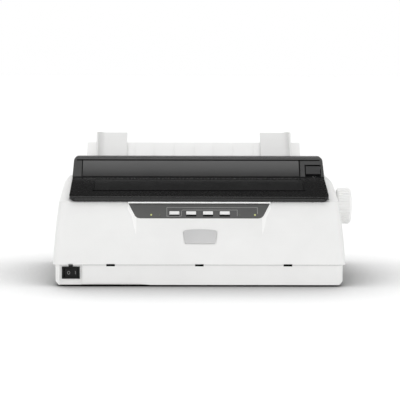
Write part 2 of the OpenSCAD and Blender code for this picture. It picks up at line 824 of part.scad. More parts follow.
module paper_guide() {
  union() {
    // a flat bed whose outer side rises in a curve to a fence
    on_support(guide_up, support_t / 2 + 1.3)
      translate([-guide_out, guide_len, 0])
        rotate([90, 0, 0])
          linear_extrude(guide_len) {
            translate([guide_rise, 0])
              square([guide_w - guide_rise, guide_t]);
            intersection() {
              square([guide_rise + e, guide_rise]);
              translate([guide_rise, guide_rise])
                difference() {
                  circle(guide_rise);
                  circle(guide_rise - guide_t);
                }
            }
          }
    // the tongue and its button hold the guide to the support
    on_support(slot_up, -support_t / 2 - 2.5)
      translate([-guide_out + guide_w / 2 - 5, -slot_h / 2 + 0.5, 0])
        cube([10, slot_h - 1, support_t + 5]);
    on_support(slot_up, -support_t / 2 - 2.5)
      translate([-guide_out + guide_w / 2 - 6, -slot_h / 2 - 2, 0])
        cube([12, slot_h + 4, 2]);
  }
}
module paper_guide_left() {
  color("white")
  paper_guide();
}
module paper_guide_right() {
  color("white")
  translate([2 * support_mid, 0, 0])
    mirror([1, 0, 0])
      paper_guide();
}

// ---- feed gears ---------------------------------------------------------------------------
press_angle = 25;
addendum = 0.8;
backlash = 0.14;
function roll_angle(r, rb) = r <= rb ? 0 : sqrt(pow(r / rb, 2) - 1) * 180 / PI;
function involute(r, rb) = roll_angle(r, rb) - atan(roll_angle(r, rb) * PI / 180);
module gear_outline(teeth) {
  rp = teeth * gear_m / 2;
  rb = rp * cos(press_angle);
  ra = rp + addendum * gear_m;
  rf = rp - 1.1 * gear_m;
  half_p = 90 / teeth - backlash / 4 / rp * 180 / PI + involute(rp, rb);
  levels = [max(rb, rf), (max(rb, rf) + rp) / 2, rp, (rp + ra) / 2, ra];
  polygon([for (i = [0:teeth - 1]) let (a = 360 * i / teeth) each concat(
    [rf * [cos(a - half_p), sin(a - half_p)]],
    [for (r = levels) let (b = a - half_p + involute(r, rb)) r * [cos(b), sin(b)]],
    [for (j = [4:-1:0]) let (r = levels[j], b = a + half_p - involute(r, rb)) r * [cos(b), sin(b)]],
    [rf * [cos(a + half_p), sin(a + half_p)]]
  )]);
}
platen_teeth = 38;
idler_teeth = 24;
pinion_teeth = 12;
transfer_teeth = 45;
tractor_teeth = 31;
platen_axis = [platen_y, platen_z];
idler_dir = -40;
pinion_dir = -75;
transfer_dir = 10;
tractor_dir = 20;
function mesh_distance(a, b) = (a + b) * gear_m / 2;
function step_to(from, dir, dist) = from + dist * [cos(dir), sin(dir)];
idler_axis = step_to(platen_axis, idler_dir, mesh_distance(platen_teeth, idler_teeth));
pinion_axis = step_to(idler_axis, pinion_dir, mesh_distance(idler_teeth, pinion_teeth));
transfer_axis = step_to(idler_axis, transfer_dir, mesh_distance(idler_teeth, transfer_teeth));
tractor_axis = step_to(transfer_axis, tractor_dir, mesh_distance(transfer_teeth, tractor_teeth));
// Angle of one tooth of the driven gear, so that it stands in mesh with the gear at angle phase
function meshed(phase, dir, z0, z1) = dir + 180 + 180 / z1 - (phase - dir) * z0 / z1;
idler_phase = meshed(0, idler_dir, platen_teeth, idler_teeth);
pinion_phase = meshed(idler_phase, pinion_dir, idler_teeth, pinion_teeth);
transfer_phase = meshed(idler_phase, transfer_dir, idler_teeth, transfer_teeth);
tractor_phase = meshed(transfer_phase, tractor_dir, transfer_teeth, tractor_teeth);
gear_x1 = -plate_x - plate_t - 1.5;  // right face of the gears, beside the left side plate
gear_x0 = gear_x1 - gear_w;
module gear(teeth, axis, phase, bore_r) {
  side_draw(gear_x0, gear_x1)
    translate(axis)
      difference() {
        rotate(phase)
          gear_outline(teeth);
        circle(bore_r);
      }
}

stud_r = 3;
flat_r = shaft_r - 0.8;  // the shaft's end is turned down for the gear
bush_r = shaft_r + 3;
rail_r = 3;
tractor_rail = [tractor_axis[0] - 22, tractor_axis[1] - 2];
tractor_half = 5;  // half width across the square tractor shaft
guide_axis = [-58, 66];
frame_z = 14;  // the frame stands on bosses of this height
frame_bosses_x = [-1, 1] * (plate_x - 6.5);
frame_bosses_y = [-78, 50];
module plate_outline() {
  difference() {
    union() {
      polygon([[-96, frame_z + 2], [-96, 70], [-78, 84], [-62, 92], [-40, 96], [-30, 108], [2, 108], [14, 98],
        [30, 88], [60, 98], [tractor_axis[0] + 9, 98], [tractor_axis[0] + 11, 80], [66, 60],
        [66, frame_z + 2]]);
      translate(platen_axis)
        circle(bush_r + 6);
    }
    translate(platen_axis)
      circle(bush_r);
    translate(guide_axis)
      circle(guide_r - 1.5);
    translate(tractor_axis)
      circle(tractor_half + 2.5);
    translate(tractor_rail)
      circle(rail_r);
    translate(bail_pivot)
      circle(pivot_r + running);
    translate(pinch_pivot)
      circle(pivot_r + running);
    translate([-30, 30])
      circle(9);
    translate([20, 34])
      circle(9);
  }
}
module side_plate(side) {
  color("lightsteelblue")
  union() {
    side_draw(side < 0 ? -plate_x - plate_t : plate_x, side < 0 ? -plate_x : plate_x + plate_t)
      plate_outline();
    // foot flange, screwed to the bosses of the lower case
    difference() {
      block(side < 0 ? -plate_x - e : plate_x - 13, side < 0 ? -plate_x + 13 : plate_x + e, -90, 62,
        frame_z, frame_z + plate_t);
      for (y = frame_bosses_y)
        translate([side * frame_bosses_x[1], y, 0])
          cylinder(r = 2, h = 40);
    }
    block(side < 0 ? -plate_x - plate_t : plate_x, side < 0 ? -plate_x : plate_x + plate_t, -90, 62,
      frame_z, frame_z + 3);
  }
}
module side_plate_left() {
  difference() {
    union() {
      side_plate(-1);
      // studs for the feed gears
      for (p = [idler_axis, transfer_axis])
        color("silver") {
          bar_x(stud_r, gear_x0 - 1.2, -plate_x - e, p[0], p[1]);
          bar_x(stud_r + 2, gear_x1 + 0.4, -plate_x - plate_t + e, p[0], p[1]);
        }
    }
    bar_x(7, -plate_x - 5, -plate_x + 5, pinion_axis[0], pinion_axis[1]);
  }
}
module side_plate_right() {
  union() {
    side_plate(1);
    color("silver")
    bar_x(lever_stud_r, plate_x + plate_t - e, plate_x + plate_t + 4, lever_pivot[0], lever_pivot[1]);
  }
}
rail_y = -88;
rail_z = 62;
module base_frame() {
  color("lightsteelblue")
  union() {
    // front rail: a folded channel that the carriage's foot slides on
    slab(-plate_x, plate_x, [[rail_y - 4, 46], [rail_y + 4, 46], [rail_y + 4, 47.5], [rail_y - 2.5, 47.5],
      [rail_y - 2.5, rail_z], [rail_y - 4, rail_z]]);
    // rear tie
    slab(-plate_x, plate_x, [[56, 40], [57.5, 40], [57.5, 62], [50, 62], [50, 60.5], [56, 60.5]]);
    // motor plate under the left end of the belt
    difference() {
      block(-plate_x, motor_x + 25, guide_axis[0] - 24, guide_axis[0] + 24, motor_top, motor_top + 2);
      translate([motor_x, belt_y, motor_top - 1])
        cylinder(r = 11.2, h = 4);
    }
    block(-plate_x, -plate_x + 2, guide_axis[0] - 24, guide_axis[0] + 24, motor_top - 8, motor_top + 1);
    // bracket of the idle pulley
    difference() {
      block(motor_x * -1 - 10, plate_x, guide_axis[0] - 10, guide_axis[0] + 10, motor_top, motor_top + 2);
      translate([-motor_x, belt_y, motor_top - 1])
        cylinder(r = 2, h = 4);
    }
    block(plate_x - 2, plate_x, guide_axis[0] - 10, guide_axis[0] + 10, motor_top - 8, motor_top + 1);
    translate([-motor_x, belt_y, motor_top])
      cylinder(r = 2, h = 13);
  }
}
chute_r = platen_r + 2.2;
pinch_r = 7;
pinch_axis = [platen_y + (platen_r + pinch_r) * cos(-72), platen_z + (platen_r + pinch_r) * sin(-72)];
pinch_pivot = [platen_y + 46, platen_z - 23];
cheek_x = plate_x - 26.5;
pinch_x = [for (i = [-1.5:1.5]) i * (cheek_x - 28) / 1.5];
pinch_len = 22;
module paper_chute() {
  color("dimgray")
  difference() {
    union() {
      side_draw(-plate_x, plate_x)
        intersection() {
          translate(platen_axis)
            difference() {
              circle(chute_r + 2);
              circle(chute_r);
            }
          // from the back of the platen down to its front
          translate(platen_axis)
            polygon([[0, 0], [40, 6], [40, -40], [-22, -40]]);
        }
      // ramp that leads the sheet in from the support
      slab(-plate_x, plate_x, [[platen_y + chute_r + 0.2, platen_z - 1], [platen_y + chute_r + 0.2, platen_z + 2.5],
        [32, 104], [33.6, 103], [platen_y + chute_r + 2, platen_z - 1]]);
    }
    for (x = pinch_x)
      block(x - pinch_len / 2 - 1.5, x + pinch_len / 2 + 1.5, pinch_axis[0] - pinch_r - 1.5,
        pinch_axis[0] + pinch_r + 1.5, pinch_axis[1] - pinch_r - 1, pinch_axis[1] + 9);
  }
}
module platen_shaft() {
  color("silver")
  union() {
    bar_x(shaft_r, -plate_x - plate_t - 0.5, knob_x + 12, platen_y, platen_z);
    bar_x(flat_r, gear_x0 - 1.5, -plate_x - plate_t, platen_y, platen_z);
  }
}
module platen_rubber() {
  color([0.1, 0.1, 0.1])
  difference() {
    bar_x(platen_r, platen_margin - plate_x, plate_x - platen_margin, platen_y, platen_z);
    bar_x(shaft_r, -plate_x, plate_x, platen_y, platen_z);
  }
}
module platen_knob() {
  color("white")
  difference() {
    union() {
      translate([knob_x, platen_y, platen_z])
        rotate([0, 90, 0])
          rotate_extrude()
            polygon([[0, 0], [knob_r - 2.4, 0], [knob_r - 1, 1.2], [knob_r - 1, knob_len - 2.4],
              [knob_r - 2, knob_len - 0.8], [knob_r - 4, knob_len], [0, knob_len]]);
      // grip ribs
      side_draw(knob_x + 1.6, knob_x + knob_len - 3)
        translate(platen_axis)
          for (i = [0:knob_ribs - 1])
            rotate(360 * i / knob_ribs)
              translate([knob_r - 2, -0.9])
                square([2, 1.8]);
    }
    bar_x(shaft_r, knob_x - 1, knob_x + 12, platen_y, platen_z);
    bar_x(knob_r - 5, knob_x + knob_len - 1.5, knob_x + knob_len + 1, platen_y, platen_z);
  }
}
module platen_bushes() {
  color("ivory")
  for (s = [-1, 1])
    difference() {
      union() {
        bar_x(bush_r, s < 0 ? -plate_x - plate_t : plate_x - 2.5, s < 0 ? -plate_x + 2.5 : plate_x + plate_t,
          platen_y, platen_z);
        bar_x(bush_r + 2, s < 0 ? -plate_x : plate_x - 2.5, s < 0 ? -plate_x + 2.5 : plate_x,
          platen_y, platen_z);
      }
      bar_x(shaft_r + running, -half_w, half_w, platen_y, platen_z);
    }
}
module platen_gear() {
  color("white")
  gear(platen_teeth, platen_axis, 0, flat_r);
}
module idler_gear() {
  color("white")
  gear(idler_teeth, idler_axis, idler_phase, stud_r + running);
}
module transfer_gear() {
  color("white")
  gear(transfer_teeth, transfer_axis, transfer_phase, stud_r + running);
}
feed_motor_r = 17.5;
feed_motor_len = 22;
motor_shaft_r = 1.5;
module feed_motor() {
  color("silver")
  difference() {
    union() {
      bar_x(feed_motor_r, -plate_x, -plate_x + feed_motor_len, pinion_axis[0], pinion_axis[1]);
      bar_x(6.5, -plate_x - plate_t, -plate_x + 1, pinion_axis[0], pinion_axis[1]);
      // ears that rest on the side plate
      side_draw(-plate_x, -plate_x + 1)
        hull()
          for (s = [-1, 1])
            translate([pinion_axis[0] + s * 21, pinion_axis[1]])
              circle(4);
    }
    bar_x(motor_shaft_r + running, -half_w, -plate_x + 6, pinion_axis[0], pinion_axis[1]);
  }
}
module motor_pinion() {
  color("gold")
  union() {
    gear(pinion_teeth, pinion_axis, pinion_phase, motor_shaft_r);
    color("silver")
    bar_x(motor_shaft_r, gear_x0 - 1, -plate_x + 5, pinion_axis[0], pinion_axis[1]);
  }
}
module pinch_carrier() {
  color("lightsteelblue")
  union() {
    // two cheeks and a bar behind the chute
    for (s = [-1, 1])
      side_draw(s * cheek_x - 1, s * cheek_x + 1)
        difference() {
          hull() {
            translate(pinch_pivot)
              circle(5);
            translate(pinch_axis)
              circle(2.5);
          }
          translate(pinch_axis)
            circle(1.5 + running);
        }
    slab(-cheek_x, cheek_x, [[pinch_pivot[0] + 2, pinch_pivot[1] - 4.5], [pinch_pivot[0] + 4, pinch_pivot[1] - 3],
      [pinch_pivot[0] + 4, pinch_pivot[1] + 3], [pinch_pivot[0] + 2, pinch_pivot[1] + 4]]);
    for (s = [-1, 1])
      bar_x(pivot_r, s < 0 ? -plate_x - 1 : cheek_x, s < 0 ? -cheek_x : plate_x + 1,
        pinch_pivot[0], pinch_pivot[1]);
  }
}
module pinch_rollers() {
  color("darkgray")
  union() {
    bar_x(1.5, -cheek_x - 3, cheek_x + 3, pinch_axis[0], pinch_axis[1]);
    for (x = pinch_x)
      bar_x(pinch_r - running, x - pinch_len / 2, x + pinch_len / 2, pinch_axis[0], pinch_axis[1]);
  }
}
bail_r = 4.5;
bail_dir = 115;
bail_axis = step_to(platen_axis, bail_dir, platen_r + bail_r + 0.1);
bail_pivot = [-34, 76];
bail_x = [-1, 0, 1] * (plate_x - 66.5);
module bail_frame() {
  color("silver")
  union() {
    bar_x(1.6, -plate_x + 1.6, plate_x - 1.6, bail_axis[0], bail_axis[1]);
    both_sides()
      side_draw(plate_x - 3.2, plate_x - 1.6)
        hull() {
          translate(bail_pivot)
            circle(4.5);
          translate(bail_axis)
            circle(3.2);
        }
    both_sides()
      bar_x(pivot_r, plate_x - 2, plate_x + plate_t + 0.5, bail_pivot[0], bail_pivot[1]);
  }
}
module bail_rollers() {
  color("dimgray")
  for (x = bail_x)
    difference() {
      bar_x(bail_r, x - 7, x + 7, bail_axis[0], bail_axis[1]);
      bar_x(1.6 + running, x - 8, x + 8, bail_axis[0], bail_axis[1]);
    }
}

// ---- carriage -----------------------------------------------------------------------------
lever_axle_r = guide_r - 1.5;
module guide_shaft() {
  color("silver")
  union() {
    bar_x(guide_r, -plate_x, plate_x, guide_axis[0], guide_axis[1]);
    bar_x(lever_axle_r, -plate_x - plate_t - 1, plate_x + plate_t + 5, guide_axis[0], guide_axis[1]);
  }
}
head_z = platen_z;
head_front = platen_y - platen_r - 3.1;  // tip of the nose, just short of the ribbon
module carriage() {
  w = carriage_w / 2;
  color([0.15, 0.15, 0.16])
  difference() {
    union() {
      bar_x(guide_r + 3.5, -w, w, guide_axis[0], guide_axis[1]);
      slab(-w, w, [[-78, 60], [-50, 60], [-44, 66], [-44, 74], [-52, 76], [-52, 78], [-80, 78], [-80, 70]]);
      // cheeks that hold the head
      for (s = [-1, 1])
        slab(s < 0 ? -w : w - 3, s < 0 ? 3 - w : w, [[-78, 74], [-46, 74], [-52, 92], [-74, 92]]);
      // foot that slides on the front rail
      slab(-9, 9, [[-82, rail_z + 0.3], [-79, rail_z + 0.3], [-79, rail_z + 8], [-97, rail_z + 6],
        [-97, rail_z - 3], [rail_y - 4.5, rail_z - 3], [rail_y - 4.5, rail_z + 0.3]]);
      // clamp that grips the belt
      block(-8, 8, belt_y + pulley_r + 1.6, belt_y + pulley_r + 4.4, belt_z - 3, 62);
    }
    bar_x(guide_r + running, -w - 1, w + 1, guide_axis[0], guide_axis[1]);
    translate([0, -40, head_z])
      rotate([90, 0, 0])
        cylinder(r = head_r + 0.2, h = 50);
  }
}
module print_head() {
  color([0.55, 0.56, 0.58])
  translate([0, head_front, head_z])
    rotate([90, 0, 0])
      union() {
        // finned drum behind a tapering nose
        rotate_extrude()
          polygon(concat([[0, 20]], [[9, 20], [11, 24], [head_r, 25]],
            [for (i = [0:3]) let (z = 27 + 4 * i)
              each [[head_r, z], [head_r - 3, z], [head_r - 3, z + 2], [head_r, z + 2]]],
            [[head_r, 44], [head_r - 2, 46], [0, 46]]));
        hull() {
          translate([0, 0, 21])
            cylinder(r = 8, h = 1, $fn = 24);
          translate([-5, -6, 2])
            cube([10, 12, 1]);
        }
        translate([-3, -5, 0])
          cube([6, 10, 4]);
      }
}
cartridge_x = plate_x - 6.5;
cartridge_y0 = -100;
cartridge_y1 = -81;
cartridge_z0 = 79;
cartridge_z1 = 98;
arm_w = 9;
module ribbon_cartridge() {
  color([0.12, 0.12, 0.12])
  difference() {
    union() {
      translate([0, (cartridge_y0 + cartridge_y1) / 2, cartridge_z0])
        linear_extrude(cartridge_z1 - cartridge_z0)
          rounded([2 * cartridge_x, cartridge_y1 - cartridge_y0], 4);
      both_sides()
        slab(cartridge_x - arm_w, cartridge_x, [[cartridge_y1 - 4, 80], [cartridge_y1 - 4, 96], [-50, 97],
          [ribbon_y - 3, head_z + ribbon_h / 2 + 2], [ribbon_y + 1.1, head_z + ribbon_h / 2 + 1],
          [ribbon_y + 1.1, head_z - ribbon_h / 2 - 1], [-60, 80]]);
    }
    // the ribbon leaves each arm through a slot
    both_sides()
      block(cartridge_x - arm_w - 1, ribbon_x, ribbon_y - 0.4, ribbon_y + 0.4, head_z - ribbon_h / 2 - 0.4,
        head_z + ribbon_h / 2 + 0.4);
    translate([ribbon_knob_x, ribbon_knob_y, cartridge_z0 + 6])
      cylinder(r = 2.5 + running, h = 30);
  }
}
ribbon_y = platen_y - platen_r - 2.4;  // the ribbon runs between head and platen
ribbon_x = cartridge_x - 3.2;
module ribbon_band() {
  color("black")
  block(-ribbon_x, ribbon_x, ribbon_y - 0.15, ribbon_y + 0.15, head_z - ribbon_h / 2, head_z + ribbon_h / 2);
}
ribbon_knob_x = 26 - cartridge_x;
ribbon_knob_y = (cartridge_y0 + cartridge_y1) / 2;
module ribbon_knob() {
  color("dimgray")
  translate([ribbon_knob_x, ribbon_knob_y, 0])
    union() {
      translate([0, 0, cartridge_z1 + 0.3])
        linear_extrude(3.6)
          for (a = [0:30:60])
            rotate(a)
              square(10.6, center = true);
      translate([0, 0, cartridge_z0 + 8])
        cylinder(r = 2.5, h = cartridge_z1 - cartridge_z0 - 7);
    }
}
motor_x = 20.5 - plate_x;
motor_top = 44;
belt_y = guide_axis[0];
belt_z = 52;
belt_t = 1.2;
belt_h = 5;
module timing_belt() {
  color([0.1, 0.1, 0.1])
  translate([0, belt_y, belt_z - belt_h / 2])
    linear_extrude(belt_h)
      difference() {
        loop_outline(pulley_r + 0.1 + belt_t);
        loop_outline(pulley_r + 0.1);
      }
}
module loop_outline(r) {
  square([-2 * motor_x, 2 * r], center = true);
  for (x = [motor_x, -motor_x])
    translate([x, 0])
      circle(r);
}
module pulley(bore_r) {
  difference() {
    union() {
      cylinder(r = pulley_r, h = belt_h + 1.6);
      cylinder(r = pulley_r + 2, h = 0.6);
      translate([0, 0, belt_h + 1.4])
        cylinder(r = pulley_r + 2, h = 0.8);
    }
    translate([0, 0, -1])
      cylinder(r = bore_r, h = 20);
  }
}
pulley_z = belt_z - belt_h / 2 - 1;
module drive_pulley() {
  color("gold")
  union() {
    translate([motor_x, belt_y, pulley_z])
      pulley(2.5);
    color("silver")
    translate([motor_x, belt_y, motor_top - 5])
      cylinder(r = 2.5, h = 17.6);
  }
}
module idle_pulley() {
  color("white")
  translate([-motor_x, belt_y, pulley_z])
    pulley(2 + running);
}
module carriage_motor() {
  color([0.25, 0.25, 0.26])
  union() {
    difference() {
      union() {
        translate([motor_x, belt_y, motor_top - 26])
          linear_extrude(26)
            rounded([36, 36], 4);
        translate([motor_x, belt_y, motor_top - e])
          cylinder(r = 11, h = 2.3);
      }
      translate([motor_x, belt_y, motor_top - 6])
        cylinder(r = 2.5 + running, h = 12);
    }
  }
}
module gap_lever() {
  color("royalblue")
  difference() {
    side_draw(plate_x + plate_t + 0.5, plate_x + plate_t + 3.5)
      union() {
        translate(guide_axis)
          circle(lever_axle_r + 3.5);
        polygon([[guide_axis[0] - 4, guide_axis[1]], [guide_axis[0] + 4, guide_axis[1]],
          [guide_axis[0] - 6, 100], [guide_axis[0] - 16, 104], [guide_axis[0] - 19, 100],
          [guide_axis[0] - 11, 94]]);
      }
    bar_x(lever_axle_r + running, plate_x, plate_x + 10, guide_axis[0], guide_axis[1]);
  }
}

// ---- tractors -----------------------------------------------------------------------------
tractor_x = plate_x - 26.5;  // middle of each tractor
tractor_w = 16;
module tractor_shaft() {
  color("silver")
  union() {
    side_draw(-plate_x - plate_t + 0.2, plate_x + plate_t)
      translate(tractor_axis)
        rotate(45)
          square(2 * tractor_half, center = true);
    // round ends turn in the side plates
    for (s = [-1, 1])
      bar_x(tractor_half + 2.4, s < 0 ? -plate_x - plate_t - 0.4 : plate_x - 1,
        s < 0 ? -plate_x + 1 : plate_x + plate_t + 0.4, tractor_axis[0], tractor_axis[1]);
    color("white")
    gear(tractor_teeth, tractor_axis, tractor_phase, 1);
    bar_x(3, gear_x0 - 1, -plate_x - 1, tractor_axis[0], tractor_axis[1]);
  }
}
module tractor_rail() {
  color("silver")
  bar_x(rail_r, -plate_x - plate_t, plate_x + plate_t, tractor_rail[0], tractor_rail[1]);
}
tractor_skin = 2;
module tractor() {
  color("dimgray")
  for (s = [-1, 1])
    side_draw(s * (tractor_w / 2 - tractor_skin / 2) - tractor_skin / 2,
      s * (tractor_w / 2 - tractor_skin / 2) + tractor_skin / 2)
      difference() {
        union() {
          translate(tractor_axis)
            circle(sprocket_r - 1);
          translate(tractor_rail)
            circle(7);
          polygon([tractor_axis + [0, -11], tractor_rail + [0, -7], tractor_rail + [-7, 0],
            tractor_rail + [-6, 10.5], tractor_axis + [0, 11]]);
        }
        translate(tractor_axis)
          circle(tractor_half * sqrt(2) + 0.5);
        translate(tractor_rail)
          circle(rail_r + running);
      }
  // bridge between the two cheeks, behind the sprocket
  color("dimgray")
  difference() {
    side_draw(-tractor_w / 2 + 0.5, tractor_w / 2 - 0.5)
      union() {
        translate(tractor_rail)
          circle(6);
        polygon([tractor_rail + [-6, 0], tractor_rail + [-6, 10], tractor_rail + [4, 10], tractor_rail + [4, 0]]);
      }
    bar_x(rail_r + running, -20, 20, tractor_rail[0], tractor_rail[1]);
  }
}
module tractor_left() {
  translate([-tractor_x, 0, 0])
    tractor();
}
module tractor_right() {
  translate([tractor_x, 0, 0])
    tractor();
}
pin_count = 6;
module sprocket() {
  color("black")
  difference() {
    union() {
      bar_x(sprocket_r - 1.4, -tractor_w / 2 + tractor_skin + 0.4, tractor_w / 2 - tractor_skin - 0.4,
        tractor_axis[0], tractor_axis[1]);
      for (i = [0:pin_count - 1])
        translate([0, tractor_axis[0], tractor_axis[1]])
          rotate([360 * i / pin_count, 0, 0])
            translate([0, 0, sprocket_r - 3])
              cylinder(r1 = 1.9, r2 = 1.1, h = 4.6);
    }
    side_draw(-tractor_w, tractor_w)
      translate(tractor_axis)
        rotate(45)
          square(2 * (tractor_half + running), center = true);
  }
}
module sprocket_left() {
  translate([-tractor_x, 0, 0])
    sprocket();
}
module sprocket_right() {
  translate([tractor_x, 0, 0])
    sprocket();
}

// ---- electrics ----------------------------------------------------------------------------
board_z = 10;
board_t = 1.6;
socket_front = half_d - 23.5;  // front of the inlet and the data sockets
board_bosses_x = [10, plate_x - 22.5];
board_bosses_y = [-30, socket_front - 4];
supply_bosses_x = [24.5 - plate_x, -20];
module circuit_board(x0, x1) {
  difference() {
    block(x0, x1, board_bosses_y[0] - 6, board_bosses_y[1] + 8, board_z, board_z + board_t);
    for (x = [x0 + 6, x1 - 6], y = board_bosses_y)
      translate([x, y, 0])
        cylinder(r = 1.6, h = 40);
  }
}
port_x = 70;
port_w = 72;
port_z1 = 46;
usb_x = 14;
inlet_x = 60.5 - half_w;
inlet_w = 28;
inlet_z1 = 50;
module main_board() {
  color("darkgreen")
  circuit_board(board_bosses_x[0] - 6, board_bosses_x[1] + 6);
  color([0.15, 0.15, 0.15])
  for (c = [[40, 20, 26], [80, 10, 16], [104, 40, 12], [60, 60, 14], [30, 70, 10]])
    block(c[0] - c[2] / 2, c[0] + c[2] / 2, c[1] - c[2] / 2, c[1] + c[2] / 2, board_z + board_t - e,
      board_z + board_t + 2.4);
  color("silver")
  for (x = [26, 15, 4])
    translate([board_bosses_x[1] - x, 85, board_z + board_t - e])
      cylinder(r = 4, h = 12);
}
module power_supply() {
  color("peru")
  circuit_board(supply_bosses_x[0] - 6, supply_bosses_x[1] + 6);
  // transformer with its wound coil
  color("dimgray")
  block(-80, -38, 20, 56, board_z + board_t - e, board_z + board_t + 22);
  color("orange")
  block(-76, -42, 14, 62, board_z + board_t + 4, board_z + board_t + 24);
  color("navy")
  for (p = [[-100, 10], [-100, 36], [-60, -6]])
    translate([p[0], p[1], board_z + board_t - e])
      cylinder(r = 9, h = 28);
  color("silver")
  block(supply_bosses_x[0] + 2, supply_bosses_x[0] + 6, -10, 60, board_z + board_t - e, board_z + board_t + 20);
}
socket_face = half_d - 0.7;
socket_back = lower_rear - wall - 0.5;  // below the seam the sockets stay inside the rear wall
module socket_block(x0, x1, top) {
  block(x0, x1, socket_front, socket_back, board_z + board_t, top);
  block(x0, x1, socket_back - e, socket_face, seam_z + gap, top);
}
module power_inlet() {
  color("black")
  difference() {
    socket_block(inlet_x - inlet_w / 2, inlet_x + inlet_w / 2, inlet_z1);
    translate([inlet_x, half_d - 16, inlet_z1 - 12])
      rotate([-90, 0, 0])
        linear_extrude(30)
          polygon([[-12, -7.5], [12, -7.5], [12, 3.5], [8, 8], [-8, 8], [-12, 3.5]]);
  }
  color("silver")
  for (p = [[-7, -1.5], [0, 2], [7, -1.5]])
    block(inlet_x + p[0] - 1, inlet_x + p[0] + 1, half_d - 17, half_d - 6, inlet_z1 - 14 + p[1],
      inlet_z1 - 10 + p[1]);
}
module data_ports() {
  // parallel socket with its two bail clips, and the square serial bus socket
  color("silver")
  difference() {
    socket_block(port_x - port_w / 2 + 6, port_x + port_w / 2 - 6, port_z1);
    block(port_x - 25, port_x + 25, half_d - 12, half_d + 5, port_z1 - 15, port_z1 - 3);
  }
  color("black")
  block(port_x - 23, port_x + 23, half_d - 13, half_d - 3, port_z1 - 11.5, port_z1 - 6.5);
  color("silver")
  for (s = [-1, 1])
    block(port_x + s * 33 - 2.5, port_x + s * 33 + 2.5, half_d - 6, socket_face, port_z1 - 15, port_z1 - 3);
  color("silver")
  for (s = [-1, 1])
    block(port_x + s * 31 - 2, port_x + s * 31 + 2, half_d - 6, half_d - 2, port_z1 - 12, port_z1 - 6);
  color("silver")
  difference() {
    socket_block(usb_x - 6, usb_x + 6, 39);
    block(usb_x - 4.2, usb_x + 4.2, half_d - 9, half_d + 5, 29.5, 37);
  }
}
screw_r = 1.9;
screw_head_r = 3.8;
screw_sink = 3;
module small_screw(x, y, z) {
  translate([x, y, z])
    difference() {
      union() {
        cylinder(r = 2.8, h = 1.4);
        translate([0, 0, -7])
          cylinder(r = screw_r - 0.4, h = 8);
      }
      translate([-2, -0.4, 0.8])
        cube([4, 0.8, 2]);
    }
}
module case_screws() {
  color("silver") {
    for (x = frame_bosses_x, y = frame_bosses_y)
      small_screw(x, y, frame_z + plate_t);
    for (x = concat(board_bosses_x, supply_bosses_x), y = board_bosses_y)
      small_screw(x, y, board_z + board_t);
  }
  color("silver")
  for (x = [-boss_x, boss_x], y = boss_y)
    translate([x, y, foot_gap + screw_sink - 2.2])
      difference() {
        union() {
          cylinder(r = screw_head_r, h = 2.2);
          cylinder(r = screw_r - 0.4, h = seam_z - foot_gap + 6);
        }
        for (a = [0, 90])
          rotate(a)
            translate([-2.4, -0.4, -1])
              cube([4.8, 0.8, 2.2]);
      }
}

placed() lower_case();
placed() rubber_feet();
placed() upper_case();
placed() operator_panel();
placed() badge_plate();
placed() indicator_lenses();
placed() panel_board();
placed() button_1();
placed() button_2();
placed() button_3();
placed() button_4();
placed() switch_body();
placed() power_rocker();
placed() access_cover();
placed() cover_window();
placed() rear_cover();
placed() rear_cover_panel();
placed() release_lever();
placed() sheet_support();
placed() paper_guide_left();
placed() paper_guide_right();
placed() side_plate_left();
placed() side_plate_right();
placed() base_frame();
placed() paper_chute();
placed() platen_shaft();
placed() platen_rubber();
placed() platen_knob();
placed() platen_bushes();
placed() platen_gear();
placed() idler_gear();
placed() transfer_gear();
placed() feed_motor();
placed() motor_pinion();
placed() pinch_carrier();
placed() pinch_rollers();
placed() bail_frame();
placed() bail_rollers();
placed() guide_shaft();
placed() carriage();
placed() print_head();
placed() ribbon_cartridge();
placed() ribbon_band();
placed() ribbon_knob();
placed() timing_belt();
placed() drive_pulley();
placed() idle_pulley();
placed() carriage_motor();
placed() gap_lever();
placed() tractor_shaft();
placed() tractor_rail();
placed() tractor_left();
placed() tractor_right();
placed() sprocket_left();
placed() sprocket_right();
placed() main_board();
placed() power_supply();
placed() power_inlet();
placed() data_ports();
placed() case_screws();
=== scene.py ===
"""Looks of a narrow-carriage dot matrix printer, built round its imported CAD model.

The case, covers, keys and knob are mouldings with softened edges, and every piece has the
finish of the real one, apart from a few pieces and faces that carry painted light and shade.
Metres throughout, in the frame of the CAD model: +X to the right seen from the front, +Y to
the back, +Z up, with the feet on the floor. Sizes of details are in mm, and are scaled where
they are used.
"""
import json
import math

import bmesh
import bpy
from mathutils import Matrix, Vector
from mathutils.bvhtree import BVHTree


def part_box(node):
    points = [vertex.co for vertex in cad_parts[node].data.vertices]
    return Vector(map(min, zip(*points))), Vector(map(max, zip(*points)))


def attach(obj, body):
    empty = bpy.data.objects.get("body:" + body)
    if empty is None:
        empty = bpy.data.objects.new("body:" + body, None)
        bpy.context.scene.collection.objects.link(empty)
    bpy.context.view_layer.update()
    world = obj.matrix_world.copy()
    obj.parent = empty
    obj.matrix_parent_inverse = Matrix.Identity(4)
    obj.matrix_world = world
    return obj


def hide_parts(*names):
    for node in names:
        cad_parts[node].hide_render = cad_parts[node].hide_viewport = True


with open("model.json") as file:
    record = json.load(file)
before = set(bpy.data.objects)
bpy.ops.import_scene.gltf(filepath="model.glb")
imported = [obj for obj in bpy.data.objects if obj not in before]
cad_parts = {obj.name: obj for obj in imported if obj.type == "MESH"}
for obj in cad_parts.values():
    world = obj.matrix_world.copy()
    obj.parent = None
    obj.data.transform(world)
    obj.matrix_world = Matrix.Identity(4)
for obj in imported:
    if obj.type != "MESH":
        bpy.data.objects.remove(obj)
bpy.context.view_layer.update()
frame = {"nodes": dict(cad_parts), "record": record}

MM = 0.001
record = frame["record"]
carrier = {node: body for body, nodes in record["behaviour"]["bodies"].items() for node in nodes}
finish_of = {part["node"]: part["material_slot"] for part in record["subparts"]}


